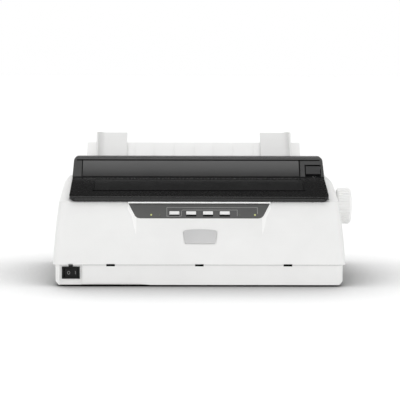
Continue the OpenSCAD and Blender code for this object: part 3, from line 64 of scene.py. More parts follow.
# ---- materials --------------------------------------------------------------------------------
EDGE = 0.35 * MM              # radius that a polished tool leaves on an outer edge
CLOUD_MM = 60                 # size of the cloudy patches in a moulding's tint
NOISE_SPAN = 0.3, 0.7         # noise values between which a tint or a sheen changes
MOULDED_WANDER = 0.04         # how far the roughness of a moulding strays to either side
METAL_WANDER = 0.07           # the same for worked metal
GLASSY_WANDER = 0.05          # how much rougher a lens gets where it is hazy


def linear(code):
    """An sRGB hex colour as the linear colour that a shader wants."""
    parts = [int(code[i:i + 2], 16) / 255 for i in (1, 3, 5)]
    return [c / 12.92 if c <= 0.04045 else ((c + 0.055) / 1.055) ** 2.4 for c in parts] + [1]


def add(tree, kind, settings=None, links=None):
    """Adds one node to a shader tree, with its settings and what feeds its sockets."""
    node = tree.nodes.new("ShaderNode" + kind)
    for key, value in (settings or {}).items():
        if isinstance(key, int) or key in node.inputs:
            node.inputs[key].default_value = value
        else:
            setattr(node, key, value)
    for key, source in (links or {}).items():
        tree.links.new(source, node.inputs[key])
    return node


def blank(name):
    """A new material with an empty tree and its output node."""
    material = bpy.data.materials.new(name)
    material.use_nodes = True
    material.node_tree.nodes.clear()
    return material, material.node_tree, material.node_tree.nodes.new("ShaderNodeOutputMaterial")


def per_mm(size_mm):
    """Texture scale that gives features of that size."""
    return 1 / (size_mm * MM)


def tint(tree, noise, low, high):
    """A colour that runs from low to high with the noise."""
    ramp = add(tree, "ValToRGB", None, {"Fac": noise.outputs["Fac"]})
    for stop, position, code in zip(ramp.color_ramp.elements, NOISE_SPAN, (low, high)):
        stop.color = linear(code)
        stop.position = position
    return ramp.outputs["Color"]


def sheen(tree, noise, low, high):
    """A roughness that runs from low to high with the noise."""
    spread = add(tree, "MapRange", {"From Min": NOISE_SPAN[0], "From Max": NOISE_SPAN[1],
                                    "To Min": low, "To Max": high}, {"Value": noise.outputs["Fac"]})
    return spread.outputs["Result"]


def moulded(name, low, high, rough, grain_mm, relief_mm, specular=0.5, ior=1.53):
    """Injection-moulded plastic: a spark-eroded grain, a cloudy tint from low to high and a
    sheen that wanders a little where the skin flowed. Without relief its edges stay sharp."""
    material, tree, out = blank(name)
    place = add(tree, "TexCoord").outputs["Object"]
    cloud = add(tree, "TexNoise", {"Scale": per_mm(CLOUD_MM), "Detail": 3.0}, {"Vector": place})
    grain = add(tree, "TexNoise", {"Scale": per_mm(grain_mm), "Detail": 2.0}, {"Vector": place})
    roughness = sheen(tree, grain, rough - MOULDED_WANDER, rough + MOULDED_WANDER)
    shader = add(tree, "BsdfPrincipled", {"IOR": ior, "Specular IOR Level": specular},
                 {"Base Color": tint(tree, cloud, low, high), "Roughness": roughness})
    if relief_mm:
        soft_edge = add(tree, "Bevel", {"samples": 4, "Radius": EDGE})
        bump = add(tree, "Bump", {"Strength": 0.35, "Distance": relief_mm * MM},
                   {"Height": grain.outputs["Fac"], "Normal": soft_edge.outputs["Normal"]})
        tree.links.new(bump.outputs["Normal"], shader.inputs["Normal"])
    tree.links.new(shader.outputs["BSDF"], out.inputs["Surface"])
    return material


def metal(name, low, high, rough, stretch, line_mm, relief_mm=0.01):
    """Worked metal: fine lines or grains, drawn out along the axis with the small stretch."""
    material, tree, out = blank(name)
    place = add(tree, "TexCoord").outputs["Object"]
    drawn = add(tree, "Mapping", {"Scale": stretch}, {"Vector": place})
    lines = add(tree, "TexNoise", {"Scale": per_mm(line_mm), "Detail": 4.0, "Roughness": 0.6},
                {"Vector": drawn.outputs["Vector"]})
    roughness = sheen(tree, lines, rough - METAL_WANDER, rough + METAL_WANDER)
    bump = add(tree, "Bump", {"Strength": 0.3, "Distance": relief_mm * MM},
               {"Height": lines.outputs["Fac"]})
    shader = add(tree, "BsdfPrincipled", {"Metallic": 1.0},
                 {"Base Color": tint(tree, lines, low, high), "Roughness": roughness,
                  "Normal": bump.outputs["Normal"]})
    tree.links.new(shader.outputs["BSDF"], out.inputs["Surface"])
    return material


def glassy(name, code, rough, seen_through, glow=None):
    """Clear tinted plastic: a lens or a window, which lets part of the light through."""
    material, tree, out = blank(name)
    place = add(tree, "TexCoord").outputs["Object"]
    haze = add(tree, "TexNoise", {"Scale": per_mm(25), "Detail": 2.0}, {"Vector": place})
    settings = {"Base Color": linear(code), "IOR": 1.55, "Transmission Weight": seen_through}
    if glow:
        settings.update({"Emission Color": linear(glow), "Emission Strength": 0.35})
    roughness = sheen(tree, haze, rough, rough + GLASSY_WANDER)
    shader = add(tree, "BsdfPrincipled", settings, {"Roughness": roughness})
    tree.links.new(shader.outputs["BSDF"], out.inputs["Surface"])
    return material


# White ABS housing, spark-eroded tool: the real 0.3 mm grain is drawn at 1.6 mm so that it
# shows; it gives the eye a soft, slightly dusty white with no mirror in it.
abs_case = moulded("white_abs_spark_eroded", "#e9e9e8", "#eeeeed", 0.48, 1.6, 0.05, 0.4)
# White ABS of the scoop's facets and rim, smoother, and painted brighter than the grained case round
# it: a painted highlight on the facets, and painted light over the shade that the cover's lip casts on
# the rim.
painted_light_white = moulded("white_abs_painted_light", "#f8f8f7", "#fcfcfb", 0.3, 1.2, 0.01, 0.5)
# White ABS small parts, polished tool: a shade greyer, with a clearer sheen.
abs_trim = moulded("white_abs_satin", "#e2e2e1", "#e8e8e7", 0.4, 1.0, 0.02, 0.45)
# White ABS of the sheet support and the feed knob, satin: painted a touch lighter than the case, as
# painted light where these parts catch more light.
support_white_painted_light = moulded("white_abs_satin_painted_light", "#f2f2f1", "#f7f7f6", 0.45, 1.2, 0.02, 0.4)
# Smoked polystyrene front cover, polished: near black with a broad soft shine.
styrene_smoked = moulded("smoked_polystyrene_polished", "#121212", "#161616", 0.26, 3.0, 0.0, 0.25)
# Charcoal ABS rear cover: black with a fine satin grain.
abs_charcoal = moulded("charcoal_abs_satin", "#303030", "#353535", 0.38, 1.0, 0.01, 0.3)
# Grey ABS inset of the rear cover: one step lighter than the cover round it.
abs_inset = moulded("grey_abs_satin", "#353535", "#3a3a3a", 0.34, 1.0, 0.01, 0.4)
# Grey ABS along the top of the rear cover, smoother, and painted lighter: a painted highlight where the
# strip faces up into the light.
painted_highlight_grey = moulded("grey_abs_painted_highlight", "#474747", "#4c4c4c", 0.3, 1.0, 0.01, 0.4)
# Black nylon mechanism parts: dry and slightly mottled.
nylon_black = moulded("black_nylon_moulded", "#161617", "#202021", 0.45, 0.9, 0.03, 0.4)
# Black polycarbonate switch: small, smooth and quite glossy.
switch_black = moulded("black_polycarbonate_gloss", "#060606", "#090909", 0.24, 1.0, 0.0, 0.2)
# Operator panel: grey polycarbonate film, printed on its back, over a moulding.
film_grey = moulded("grey_polycarbonate_film", "#595959", "#5e5e5d", 0.42, 0.8, 0.015, 0.35)
# Pale ink of the panel's lines.
ink_white = moulded("white_screen_ink", "#a2a2a1", "#adadac", 0.5, 0.6, 0.01, 0.4)
# Grey ink of the switch marks, worn by fingers.
ink_grey = moulded("worn_pad_print_ink", "#777777", "#838383", 0.5, 0.6, 0.01, 0.3)
# Painted shade: a black sheet laid into open seams, grooves and slots for the shade inside them; no
# light comes back out of it.
painted_gap_shade = moulded("painted_gap_shade", "#040404", "#070707", 0.8, 0.8, 0.0, 0.03)
# Acetal gears and bushes: milky, slightly waxy white.
acetal = moulded("natural_acetal_moulded", "#dcdad0", "#e6e4db", 0.35, 0.8, 0.02, 0.5, ior=1.48)
# Blue acetal of the head gap lever.
acetal_blue = moulded("blue_acetal_moulded", "#27538c", "#2f5f9c", 0.35, 0.8, 0.02, 0.5)
# Platen: ground nitrile rubber, dark and dry with a hint of paper dust.
nitrile = moulded("nitrile_rubber_ground", "#191a1b", "#262728", 0.62, 0.7, 0.04, 0.35)
# Feet and rollers: softer moulded rubber.
rubber_soft = moulded("chloroprene_rubber_moulded", "#1b1b1b", "#262626", 0.75, 0.8, 0.04, 0.3)
# Circuit boards: green solder mask over glass laminate, with its faint cloth pattern.
laminate = moulded("solder_mask_on_laminate", "#12402a", "#1a5236", 0.32, 2.2, 0.03, 0.5)
# Inked ribbon: woven nylon, soaked, so it is black with a dull shine.
ribbon_nylon = moulded("inked_woven_nylon", "#09090b", "#111114", 0.6, 0.6, 0.05, 0.4)
# Drive belt: fibre-reinforced polyurethane.
belt_pu = moulded("polyurethane_belt", "#141414", "#1e1e1e", 0.55, 0.8, 0.03, 0.4)
# Lacquered aluminium of the badge: light silver grey and even, with a clear satin coat. The
# lacquer hides the metal, so it shades as a moulding does.
badge_alu = moulded("silver_lacquer_on_aluminium", "#c3c3c3", "#cacaca", 0.34, 0.6, 0.01, 0.5)

# Ground and nickel-plated steel rods: fine rings round the rod, bright and clean.
steel_ground = metal("nickel_plated_ground_steel", "#b4b4b3", "#c9c9c8", 0.22, (8, 1, 1), 4.0)
# Zinc-plated pressed sheet: greyer, with a dull cloudy bloom.
zinc_sheet = metal("zinc_plated_pressed_sheet", "#9fa4a8", "#b9bdc0", 0.38, (1, 1, 1), 3.0, 0.02)
# Die-cast aluminium of the print head and port shells: matt grey.
cast_alu = metal("die_cast_aluminium", "#8f9193", "#a7a9ab", 0.45, (1, 1, 1), 1.2, 0.04)
# Turned brass of the pinion and belt pulley.
brass_turned = metal("turned_brass", "#b08a45", "#caa45c", 0.25, (1, 1, 6), 1.5)
# Black lacquered motor laminations: thin layers show as lines across.
motor_black = metal("black_lacquered_laminations", "#1d1d1f", "#2b2b2e", 0.42, (1, 1, 10), 3.0, 0.05)

# Window of the front cover: smoked styrene left clear, nearly black over the dark inside.
styrene_clear = glassy("smoked_polystyrene_clear", "#171717", 0.16, 0.25)
# Indicator lenses: cast epoxy, the two outermost lit yellow-green.
epoxy_dark = glassy("cast_epoxy_unlit", "#8b8f84", 0.2, 0.4)
epoxy_lit = glassy("cast_epoxy_lit", "#b4b87c", 0.2, 0.2, "#c9d08c")

FINISH = {
    "case_plastic": abs_case, "foot_rubber": rubber_soft, "panel_plastic": film_grey,
    "badge_metal": badge_alu, "lens": epoxy_dark, "board": laminate, "button_plastic": abs_trim,
    "black_plastic": nylon_black, "cover_plastic": styrene_smoked, "window": styrene_clear,
    "rear_cover_plastic": abs_charcoal, "panel_grey": abs_inset, "support_plastic": support_white_painted_light,
    "zinc_steel": zinc_sheet, "steel": steel_ground, "platen_rubber": nitrile,
    "gear_plastic": acetal, "brass": brass_turned, "aluminium": cast_alu, "ribbon": ribbon_nylon,
    "belt_rubber": belt_pu, "motor_paint": motor_black, "lever_plastic": acetal_blue,
}


def coat(piece, material):
    """Gives every slot of a piece the same material."""
    if not piece.data.materials:
        piece.data.materials.append(material)
    for i in range(len(piece.data.materials)):
        piece.data.materials[i] = material


for node, solid in frame["nodes"].items():
    coat(solid, FINISH[finish_of[node]])
# The switch is glossier than the other black parts, whose slot it shares.
for node in ("switch_body", "power_rocker"):
    coat(frame["nodes"][node], switch_black)


# ---- making pieces ----------------------------------------------------------------------------
WELD, SLIVER = 4e-6, 2e-6     # metres: nearer points become one, and shorter edges go
FLAT, SHARP = 0.6, 40         # degrees: flatter edges go, and sharper ones are rounded
CREASE = 30                   # degrees: a sharper edge of a mesh made here shades as an edge
BEVEL_STEPS = 2
MITRE_LEAST = 0.3             # keeps the corner of a stroke from running out to a spike
UPRIGHT = 0                   # degrees: a face that doesn't lean
# Lays a prism across: its outline runs up the slope and out of it, and its levels run across.
SIDEWAYS = Matrix(((0, 0, 1, 0), (1, 0, 0, 0), (0, 1, 0, 0), (0, 0, 0, 1)))


def link(mesh, name):
    """Puts a mesh into the scene as an object."""
    piece = bpy.data.objects.new(name, mesh)
    bpy.context.scene.collection.objects.link(piece)
    return piece


def settle(piece, node, material, stands_for=()):
    """Puts a finished piece on the body of a CAD node, in its finish."""
    coat(piece, material)
    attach(piece, carrier[node])
    if stands_for:
        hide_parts(*stands_for)
    return piece


def moulding(node, name, round_mm=0.0, smooth=28, material=None, shape=None):
    """A CAD solid as one welded mesh, which takes the solid's place. A function may shape it
    further, its sharp edges are rounded by so many mm, and edges of fewer degrees than
    `smooth` shade as one surface."""
    mesh = frame["nodes"][node].data.copy()
    piece = link(mesh, name)
    bm = bmesh.new()
    bm.from_mesh(mesh)
    bmesh.ops.remove_doubles(bm, verts=bm.verts, dist=WELD)
    bmesh.ops.dissolve_degenerate(bm, edges=bm.edges, dist=SLIVER)
    bmesh.ops.dissolve_limit(bm, angle_limit=math.radians(FLAT), verts=bm.verts, edges=bm.edges)
    if shape:
        shape(bm)
    for face in bm.faces:
        face.smooth = True
    bm.to_mesh(mesh)
    bm.free()
    for layer in list(mesh.attributes):
        if layer.name == "custom_normal":
            mesh.attributes.remove(layer)
    mesh.set_sharp_from_angle(angle=math.radians(smooth))
    if round_mm:
        bevel = piece.modifiers.new("rounded", "BEVEL")
        bevel.width = round_mm * MM
        bevel.segments = BEVEL_STEPS
        bevel.limit_method = "ANGLE"
        bevel.angle_limit = math.radians(SHARP)
        bevel.use_clamp_overlap = True
        bevel.harden_normals = False
    normals = piece.modifiers.new("even", "WEIGHTED_NORMAL")
    normals.keep_sharp = True
    bpy.context.view_layer.update()
    done = bpy.data.meshes.new_from_object(piece.evaluated_get(bpy.context.evaluated_depsgraph_get()))
    piece.modifiers.clear()
    piece.data = done
    return settle(piece, node, material or FINISH[finish_of[node]], (node,))


def slope(foot, lean):
    """A face that leans back from upright by so many degrees, from a place on it: across, up
    its slope and out of it, in mm."""
    s, c = math.sin(math.radians(lean)), math.cos(math.radians(lean))
    turn = Matrix(((1, 0, 0, 0), (0, s, -c, 0), (0, c, s, 0), (0, 0, 0, 1)))
    return Matrix.Translation(foot) @ turn @ Matrix.Scale(MM, 4)


def leaning(node, lean, thick):
    """The front of a plate that leans back, from the middle of its lower edge."""
    low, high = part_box(node)
    foot = low.z + thick * MM * math.sin(math.radians(lean))
    return slope(Vector(((low.x + high.x) / 2, low.y, foot)), lean)


def onto(node, x, z):
    """The front of a CAD node at a place seen from the front, as across, up and out, in mm."""
    mesh = frame["nodes"][node].data
    solid = BVHTree.FromPolygons([v.co for v in mesh.vertices], [p.vertices for p in mesh.polygons])
    before = Vector((x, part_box(node)[0].y - 10 * MM, z))
    at, out = solid.ray_cast(before, Vector((0, 1, 0)))[:2]
    up = (Vector((0, 0, 1)) - out * out.z).normalized()
    across = up.cross(out)
    turn = Matrix((across, up, out)).transposed().to_4x4()
    return Matrix.Translation(at) @ turn @ Matrix.Scale(MM, 4)


def finished(bm, name, soft=0.0, segments=BEVEL_STEPS):
    """Turns a mesh's faces outwards, rounds its sharp edges by so many mm and makes it a piece."""
    bmesh.ops.recalc_face_normals(bm, faces=bm.faces)
    if soft:
        limit = math.radians(SHARP)
        sharp = [e for e in bm.edges if len(e.link_faces) == 2 and e.calc_face_angle() > limit]
        bmesh.ops.bevel(bm, geom=sharp, offset=soft * MM, segments=segments, profile=0.5,
                        affect="EDGES", clamp_overlap=True)
    mesh = bpy.data.meshes.new(name)
    bm.to_mesh(mesh)
    bm.free()
    for polygon in mesh.polygons:
        polygon.use_smooth = True
    mesh.set_sharp_from_angle(angle=math.radians(CREASE))
    return link(mesh, name)


def prism(bm, outline, low, high, place):
    """A solid between two levels, with the same outline all the way up."""
    rings = [[bm.verts.new(place @ Vector((u, v, level))) for u, v in outline] for level in (low, high)]
    bm.faces.new(rings[0])
    bm.faces.new(rings[1])
    for i in range(len(outline)):
        bm.faces.new((rings[0][i - 1], rings[0][i], rings[1][i], rings[1][i - 1]))


def bar(bm, left, right, bottom, top, low, high, place):
    """A straight bar between four edges and two levels."""
    prism(bm, [(left, bottom), (right, bottom), (right, top), (left, top)], low, high, place)


def stroke(bm, path, width, low, high, place, closed=False):
    """A strip of even width along a path, mitred where it turns: a line, a ring or a bar."""
    path = [Vector(p) for p in path]
    rings = []
    for i, point in enumerate(path):
        before = path[i - 1] if i or closed else point * 2 - path[i + 1]
        after = path[(i + 1) % len(path)] if i + 1 < len(path) or closed else point * 2 - path[i - 1]
        a, b = (point - before).normalized(), (after - point).normalized()
        side = Vector((-(a + b).y, (a + b).x)).normalized()
        side *= width / 2 / max(MITRE_LEAST, side.dot(Vector((-a.y, a.x))))
        rings.append([bm.verts.new(place @ Vector((*(point + side * s), level)))
                      for s, level in ((-1, low), (1, low), (1, high), (-1, high))])
    for i in range(len(path) if closed else len(path) - 1):
        a, b = rings[i], rings[(i + 1) % len(path)]
        for k in range(4):
            bm.faces.new((a[k - 1], a[k], b[k], b[k - 1]))
    if not closed:
        bm.faces.new(rings[0])
        bm.faces.new(rings[-1])


def pare(bm, at, out):
    """Cuts off what lies beyond a plane and closes the solid again."""
    cut = bmesh.ops.bisect_plane(bm, geom=bm.verts[:] + bm.edges[:] + bm.faces[:], dist=1e-7,
                                 plane_co=at, plane_no=out, clear_outer=True)
    bmesh.ops.holes_fill(bm, edges=[e for e in cut["geom_cut"] if isinstance(e, bmesh.types.BMEdge)])


def rounded(corners, steps=5):
    """An outline with each (u, v, radius) corner turned into an arc of that radius."""
    outline = []
    for i, (u, v, radius) in enumerate(corners):
        at = Vector((u, v))
        a = (Vector(corners[i - 1][:2]) - at).normalized()
        b = (Vector(corners[(i + 1) % len(corners)][:2]) - at).normalized()
        half = a.angle(b) / 2
        centre = at + (a + b).normalized() * radius / math.sin(half)
        start = at + a * radius / math.tan(half) - centre
        end = at + b * radius / math.tan(half) - centre
        for k in range(steps):
            outline.append(centre + start.slerp(end, k / (steps - 1)))
    return outline


# ---- case, covers, knob and keys --------------------------------------------------------------
TRAY_CHAMFER = 4.4            # off each lower corner of the tray
COVER_ROUND = 7.0             # radius of the front cover's lower corners
CORNER_TURNS = 20, 40, 60, 78      # degrees below level, of the cuts that round such a corner
COVER_LIP_Y = -0.105          # metres: the front cover's lip lies in front of this
RAIL_Y, RAIL_Z = (-0.008, 0.003), (0.1485, 0.1503)      # metres: the rear cover's top strip
SCOOP_MIDDLE, SCOOP_HALF, SCOOP_Z = -0.008, 0.1, (0.06, 0.102)      # metres: the scoop's inside
FACET_SIDE, FACET_FRONT = (0.25, 0.6), -0.5      # how a facet faces: to the side and forwards
KEY_ROUND = 0.3


def chamfer_foot(bm):
    """Takes the lower corners off the tray, left and right."""
    low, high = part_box("lower_case")
    pare(bm, (low.x + TRAY_CHAMFER * MM, 0, low.z), (-1, 0, -1))
    pare(bm, (high.x - TRAY_CHAMFER * MM, 0, low.z), (1, 0, -1))


def round_lip(bm):
    """Rounds the lower corners of the front cover's lip, as seen from the front."""
    across = [v.co.x for v in bm.verts if v.co.y < COVER_LIP_Y]
    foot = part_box("access_cover")[0].z
    for side, edge in ((-1, min(across)), (1, max(across))):
        centre = Vector((edge - side * COVER_ROUND * MM, 0, foot + COVER_ROUND * MM))
        for turn in CORNER_TURNS:
            out = Vector((side * math.cos(math.radians(turn)), 0, -math.sin(math.radians(turn))))
            pare(bm, centre + out * COVER_ROUND * MM, out)


def paint_rail_highlight(bm):
    """Gives the strip along the top of the rear cover's front its second finish, a painted highlight.
    """
    for face in bm.faces:
        middle = face.calc_center_median()
        on_rail = RAIL_Z[0] < middle.z < RAIL_Z[1] and RAIL_Y[0] < middle.y < RAIL_Y[1]
        face.material_index = 1 if on_rail else 0


def paint_facet_highlights(bm):
    """Gives the facets at either end of the scoop their second finish, a painted highlight."""
    for face in bm.faces:
        out, middle = face.normal, face.calc_center_median()
        inside = abs(middle.x - SCOOP_MIDDLE) < SCOOP_HALF and SCOOP_Z[0] < middle.z < SCOOP_Z[1]
        facing = FACET_SIDE[0] < abs(out.x) < FACET_SIDE[1] and out.y < FACET_FRONT
        face.material_index = 1 if inside and facing else 0


# The scoop's facets take the second finish, a painted highlight.
case = moulding("upper_case", "case_top", shape=paint_facet_highlights)
case.data.materials.append(painted_light_white)
moulding("lower_case", "case_tray", shape=chamfer_foot)
moulding("access_cover", "front_cover", shape=round_lip)
# The strip along the top of the rear cover takes the second finish, a painted highlight.
hood = moulding("rear_cover", "back_cover", shape=paint_rail_highlight)
hood.data.materials.append(painted_highlight_grey)
# The knob takes the support's finish, with its painted light.
moulding("platen_knob", "feed_knob", smooth=20, material=support_white_painted_light)
for i in range(1, 5):
    moulding(f"button_{i}", f"key_{i}", KEY_ROUND)

# The grey inset bulges a little, so that it shades from top to bottom. It hangs down over the
# front edge of the cover.
INSET_LEAN, INSET_THICK = 47.2, 1.6      # degrees from upright, and mm
INSET_BULGE, INSET_HANG = 1.3, 2.6
INSET_PROUD = 0.46            # how far it stands out of the cover
INSET_LEFT = 1.0              # how much further it reaches to the left than to the right
SEAM_SIDE, SEAM_TOP = 1.2, 1.9      # width of the seams beside it and of the groove above it
low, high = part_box("rear_cover_panel")
inset_lean = math.radians(INSET_LEAN)
inset_half = (high.x - low.x) / MM / 2 - SEAM_SIDE
inset_height = ((high.y - low.y) / MM - INSET_THICK * math.cos(inset_lean)) / math.sin(inset_lean)
place = leaning("rear_cover_panel", INSET_LEAN, INSET_THICK)
tall = inset_height + INSET_HANG
bulge = [(tall * k / 10 - INSET_HANG, 4 * INSET_BULGE * k / 10 * (1 - k / 10)) for k in range(11)]
back = [(inset_height, -INSET_THICK), (0, -INSET_THICK), (0, -INSET_PROUD), (-INSET_HANG, -INSET_PROUD)]
bm = bmesh.new()
prism(bm, bulge + back, -inset_half - INSET_LEFT, inset_half, place @ SIDEWAYS)
settle(finished(bm, "hood_inset"), "rear_cover_panel", abs_inset, ("rear_cover_panel",))

# Painted shade: a black strip lies in the groove above the inset and in the seam down each of its ends,
# for the shade inside them.
GROOVE_GAP, GROOVE_SHORT = 0.4, 4.5      # from the inset's top, and from the ends of the cover
SEAM_LEVELS = -1.0, 0.08 - INSET_PROUD
hood_low, hood_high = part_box("rear_cover")
groove_left = (hood_low.x - place.translation.x) / MM + GROOVE_SHORT
groove_right = (hood_high.x - place.translation.x) / MM - GROOVE_SHORT
groove_foot = inset_height + GROOVE_GAP
bm = bmesh.new()
bar(bm, groove_left, groove_right, groove_foot, groove_foot + SEAM_TOP, *SEAM_LEVELS, place)
for edge in (-inset_half - INSET_LEFT - SEAM_SIDE, inset_half):
    bar(bm, edge, edge + SEAM_SIDE, -INSET_HANG, groove_foot, *SEAM_LEVELS, place)
settle(finished(bm, "hood_seams"), "rear_cover", painted_gap_shade)

# A dark apron under the lever's slot closes it against the light from behind, on both sides of
# the lever's arm.
APRON = [(3.0, -7.0), (4.0, -7.0), (9.7, 3.4), (8.7, 3.4)]      # behind and above the hood's edge
APRON_PAST = 2.0              # how far it reaches past the lever's ends
ARM_LEFT, ARM_RIGHT = 8.7, 4.7      # where the arm's way begins, from the lever's two ends
lever_low, lever_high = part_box("release_lever")
lever_left, lever_right = lever_low.x / MM, lever_high.x / MM
hood_edge = Matrix.Translation((0, hood_low.y, hood_low.z)) @ SIDEWAYS @ Matrix.Scale(MM, 4)
bm = bmesh.new()
prism(bm, APRON, lever_left - APRON_PAST, lever_left + ARM_LEFT, hood_edge)
prism(bm, APRON, lever_right - ARM_RIGHT, lever_right + APRON_PAST, hood_edge)
settle(finished(bm, "lever_apron"), "rear_cover", nylon_black)

# A thin lip narrows the slot over the lever, in the plane of the hood's slope. It ends above the
# arc of the lever's head.
SLOT_LIP = 20.9, 27.2         # up the slope from the hood's front edge
SLOT_LIP_PAST = 2.2           # how far it reaches past the lever's ends
SLOT_LIP_LEVELS = -0.7, 0.02
HOOD_FOOT = 2.0               # the slope begins this far above the hood's lowest point
middle = (lever_low.x + lever_high.x) / 2
half = (lever_right - lever_left) / 2 + SLOT_LIP_PAST
hood_face = slope(Vector((middle, hood_low.y, hood_low.z + HOOD_FOOT * MM)), INSET_LEAN)
bm = bmesh.new()
bar(bm, -half, half, *SLOT_LIP, *SLOT_LIP_LEVELS, hood_face)
settle(finished(bm, "lever_lip"), "rear_cover", abs_charcoal)

# The frame of the front cover's window, in painted shade: a black strip in the seam down its sides and
# along its lower edge.
FRONT_LEAN, WINDOW_LEAN = 75.3, 78.8      # the cover's slope in front of the window and beside it
FRONT_BACK, FRONT_UP = 2.1, 5.9           # where the slope begins, from the cover's lowest edge
WINDOW_UP = 23.84             # where the window begins, up the slope
FRAME_WIDE, FRAME_GAP = 1.5, 0.1          # the seams beside the window, and the gap before them
FRAME_LOW = 20.6, 23.7        # the seam under the window, up the slope
FRAME_TALL = 37               # length of the seams beside the window
FRAME_LEVELS = -0.2, 0.06
cover_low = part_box("access_cover")[0]
window_low, window_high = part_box("cover_window")
middle = (window_low.x + window_high.x) / 2
cover_foot = Vector((middle, cover_low.y + FRONT_BACK * MM, cover_low.z + FRONT_UP * MM))
cover_face = slope(cover_foot, FRONT_LEAN)
window_face = slope(cover_face @ Vector((0, WINDOW_UP, 0)), WINDOW_LEAN)
half = (window_high.x - window_low.x) / MM / 2 + FRAME_GAP
bm = bmesh.new()
bar(bm, -half - FRAME_WIDE, half + FRAME_WIDE, *FRAME_LOW, *FRAME_LEVELS, cover_face)
for edge in (-half - FRAME_WIDE, half):
    bar(bm, edge, edge + FRAME_WIDE, 0, FRAME_TALL, *FRAME_LEVELS, window_face)
settle(finished(bm, "window_seam"), "access_cover", painted_gap_shade)

# Painted shade: a dark strip lies along the seam between the two halves of the case, and a black strip
# in each latch's slot.
CASE_SEAM = -0.55, -0.05      # its edges, up from the top of the tray
CASE_SEAM_SHORT = 34, 1.5     # it ends this far from the tray's left and right end
CASE_SEAM_LEVELS = -0.2, 0.1
SLOT = -2.1, -0.05            # the edges of a latch's slot, up from the top of the tray
SLOT_WIDE, SLOT_APART = 10.5, 108.0
SLOT_LEVELS = -0.2, 0.15
tray_low, tray_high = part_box("lower_case")
front = slope(Vector(((tray_low.x + tray_high.x) / 2, tray_low.y, tray_high.z)), UPRIGHT)
half = (tray_high.x - tray_low.x) / MM / 2
bm = bmesh.new()
bar(bm, CASE_SEAM_SHORT[0] - half, half - CASE_SEAM_SHORT[1], *CASE_SEAM, *CASE_SEAM_LEVELS, front)
for x in (-SLOT_APART, 0, SLOT_APART):
    bar(bm, x - SLOT_WIDE / 2, x + SLOT_WIDE / 2, *SLOT, *SLOT_LEVELS, front)
settle(finished(bm, "seam_shadow"), "lower_case", painted_gap_shade)

# ---- guides of the sheet support --------------------------------------------------------------
SUPPORT_LEAN = 45.6           # degrees from level
GUIDE_END = 0.3               # points this near the end of a guide make up the end
GUIDE_LONGER = 2.0            # the beds reach a little higher up the slope than the plain solids
GUIDE_LEVEL = 0.9             # the fences end level, just above the beds


def level_fence(bm):
    """Lengthens a guide's bed and cuts its fence off level."""
    uphill = Vector((0, math.cos(math.radians(SUPPORT_LEAN)), math.sin(math.radians(SUPPORT_LEAN))))
    reach = max(v.co.dot(uphill) for v in bm.verts)
    end = [v for v in bm.verts if v.co.dot(uphill) > reach - GUIDE_END * MM]
    for v in end:
        v.co += uphill * GUIDE_LONGER * MM
    bed_top = sorted(v.co.z for v in end)[len(end) // 4]
    pare(bm, (0, 0, bed_top + GUIDE_LEVEL * MM), (0, 0, 1))


moulding("paper_guide_left", "guide_left", shape=level_fence)
moulding("paper_guide_right", "guide_right", shape=level_fence)

# ---- operator panel ---------------------------------------------------------------------------
PANEL_LEAN, PANEL_THICK = 29.9, 1.5      # degrees from upright, and mm
INK = -0.1, 0.05              # levels of a printed mark, under and over the surface it lies on
LINE = 0.5                    # the real line is 0.35 mm wide, drawn coarser so that it shows
OUTER_LINE = [(-22.5, 2.6), (-39.7, 2.6), (-39.7, 14.4), (71.4, 14.4), (71.4, 5.8)]
INNER_LINE = [(-21.7, 2.9), (-21.7, 9.4), (-20.0, 11.0), (46.6, 11.0), (46.6, 2.9)]
panel_face = leaning("operator_panel", PANEL_LEAN, PANEL_THICK)
bm = bmesh.new()
for path in (OUTER_LINE, INNER_LINE):
    stroke(bm, path, LINE, *INK, panel_face)
settle(finished(bm, "panel_lines"), "operator_panel", ink_white)

# The case's white rim between the scoop and the front cover's lip, painted bright over the shade that
# the lip casts on it.
RIM_PAST = 1                  # how far it reaches past the panel's ends
RIM_FRONT, RIM_BACK = 0.3, 5  # behind the edge of the cover's lip
RIM_OVER, RIM_UNDER = 0.3, 0.4      # gap to the panel and gap to the lip
RIM_ROUND = 0.5
panel_low, panel_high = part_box("operator_panel")
bm = bmesh.new()
bar(bm, panel_low.x / MM - RIM_PAST, panel_high.x / MM + RIM_PAST,
    cover_low.y / MM + RIM_FRONT, cover_low.y / MM + RIM_BACK,
    panel_high.z / MM + RIM_OVER, cover_low.z / MM - RIM_UNDER, Matrix.Scale(MM, 4))
settle(finished(bm, "scoop_rim", RIM_ROUND), "upper_case", painted_light_white)

# Painted shade: under each key a black strip in the panel's window stands for the shade beneath the
# key.
KEY_FOOT = 4.3                # lower edge of the keys, up the panel's slope
KEY_SHADE_BELOW, KEY_SHADE_ABOVE = 1.95, 0.4      # how far the painted shade reaches below and above that edge
KEY_SHADE_PAST = 0.25              # how far it reaches past the key's sides
KEY_SHADE_LEVELS = -0.9, -0.5
bm = bmesh.new()
for i in range(1, 5):
    low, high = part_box(f"button_{i}")
    middle = (panel_face.inverted() @ ((low + high) / 2)).x
    half = (high.x - low.x) / MM / 2 + KEY_SHADE_PAST
    bar(bm, middle - half, middle + half, KEY_FOOT - KEY_SHADE_BELOW, KEY_FOOT + KEY_SHADE_ABOVE,
        *KEY_SHADE_LEVELS, panel_face)
settle(finished(bm, "key_slot_shade"), "operator_panel", painted_gap_shade)

LENS_SPAN = 4                 # the outermost lens at either end lies within this


def lit_lenses(bm):
    """Gives the outermost lenses the second finish, which is lit."""
    across = [v.co.x for v in bm.verts]
    left, right = min(across) + LENS_SPAN * MM, max(across) - LENS_SPAN * MM
    for face in bm.faces:
        x = face.calc_center_median().x
        face.material_index = 1 if x < left or x > right else 0


lenses = moulding("indicator_lenses", "lenses", shape=lit_lenses)
lenses.data.materials.append(epoxy_lit)

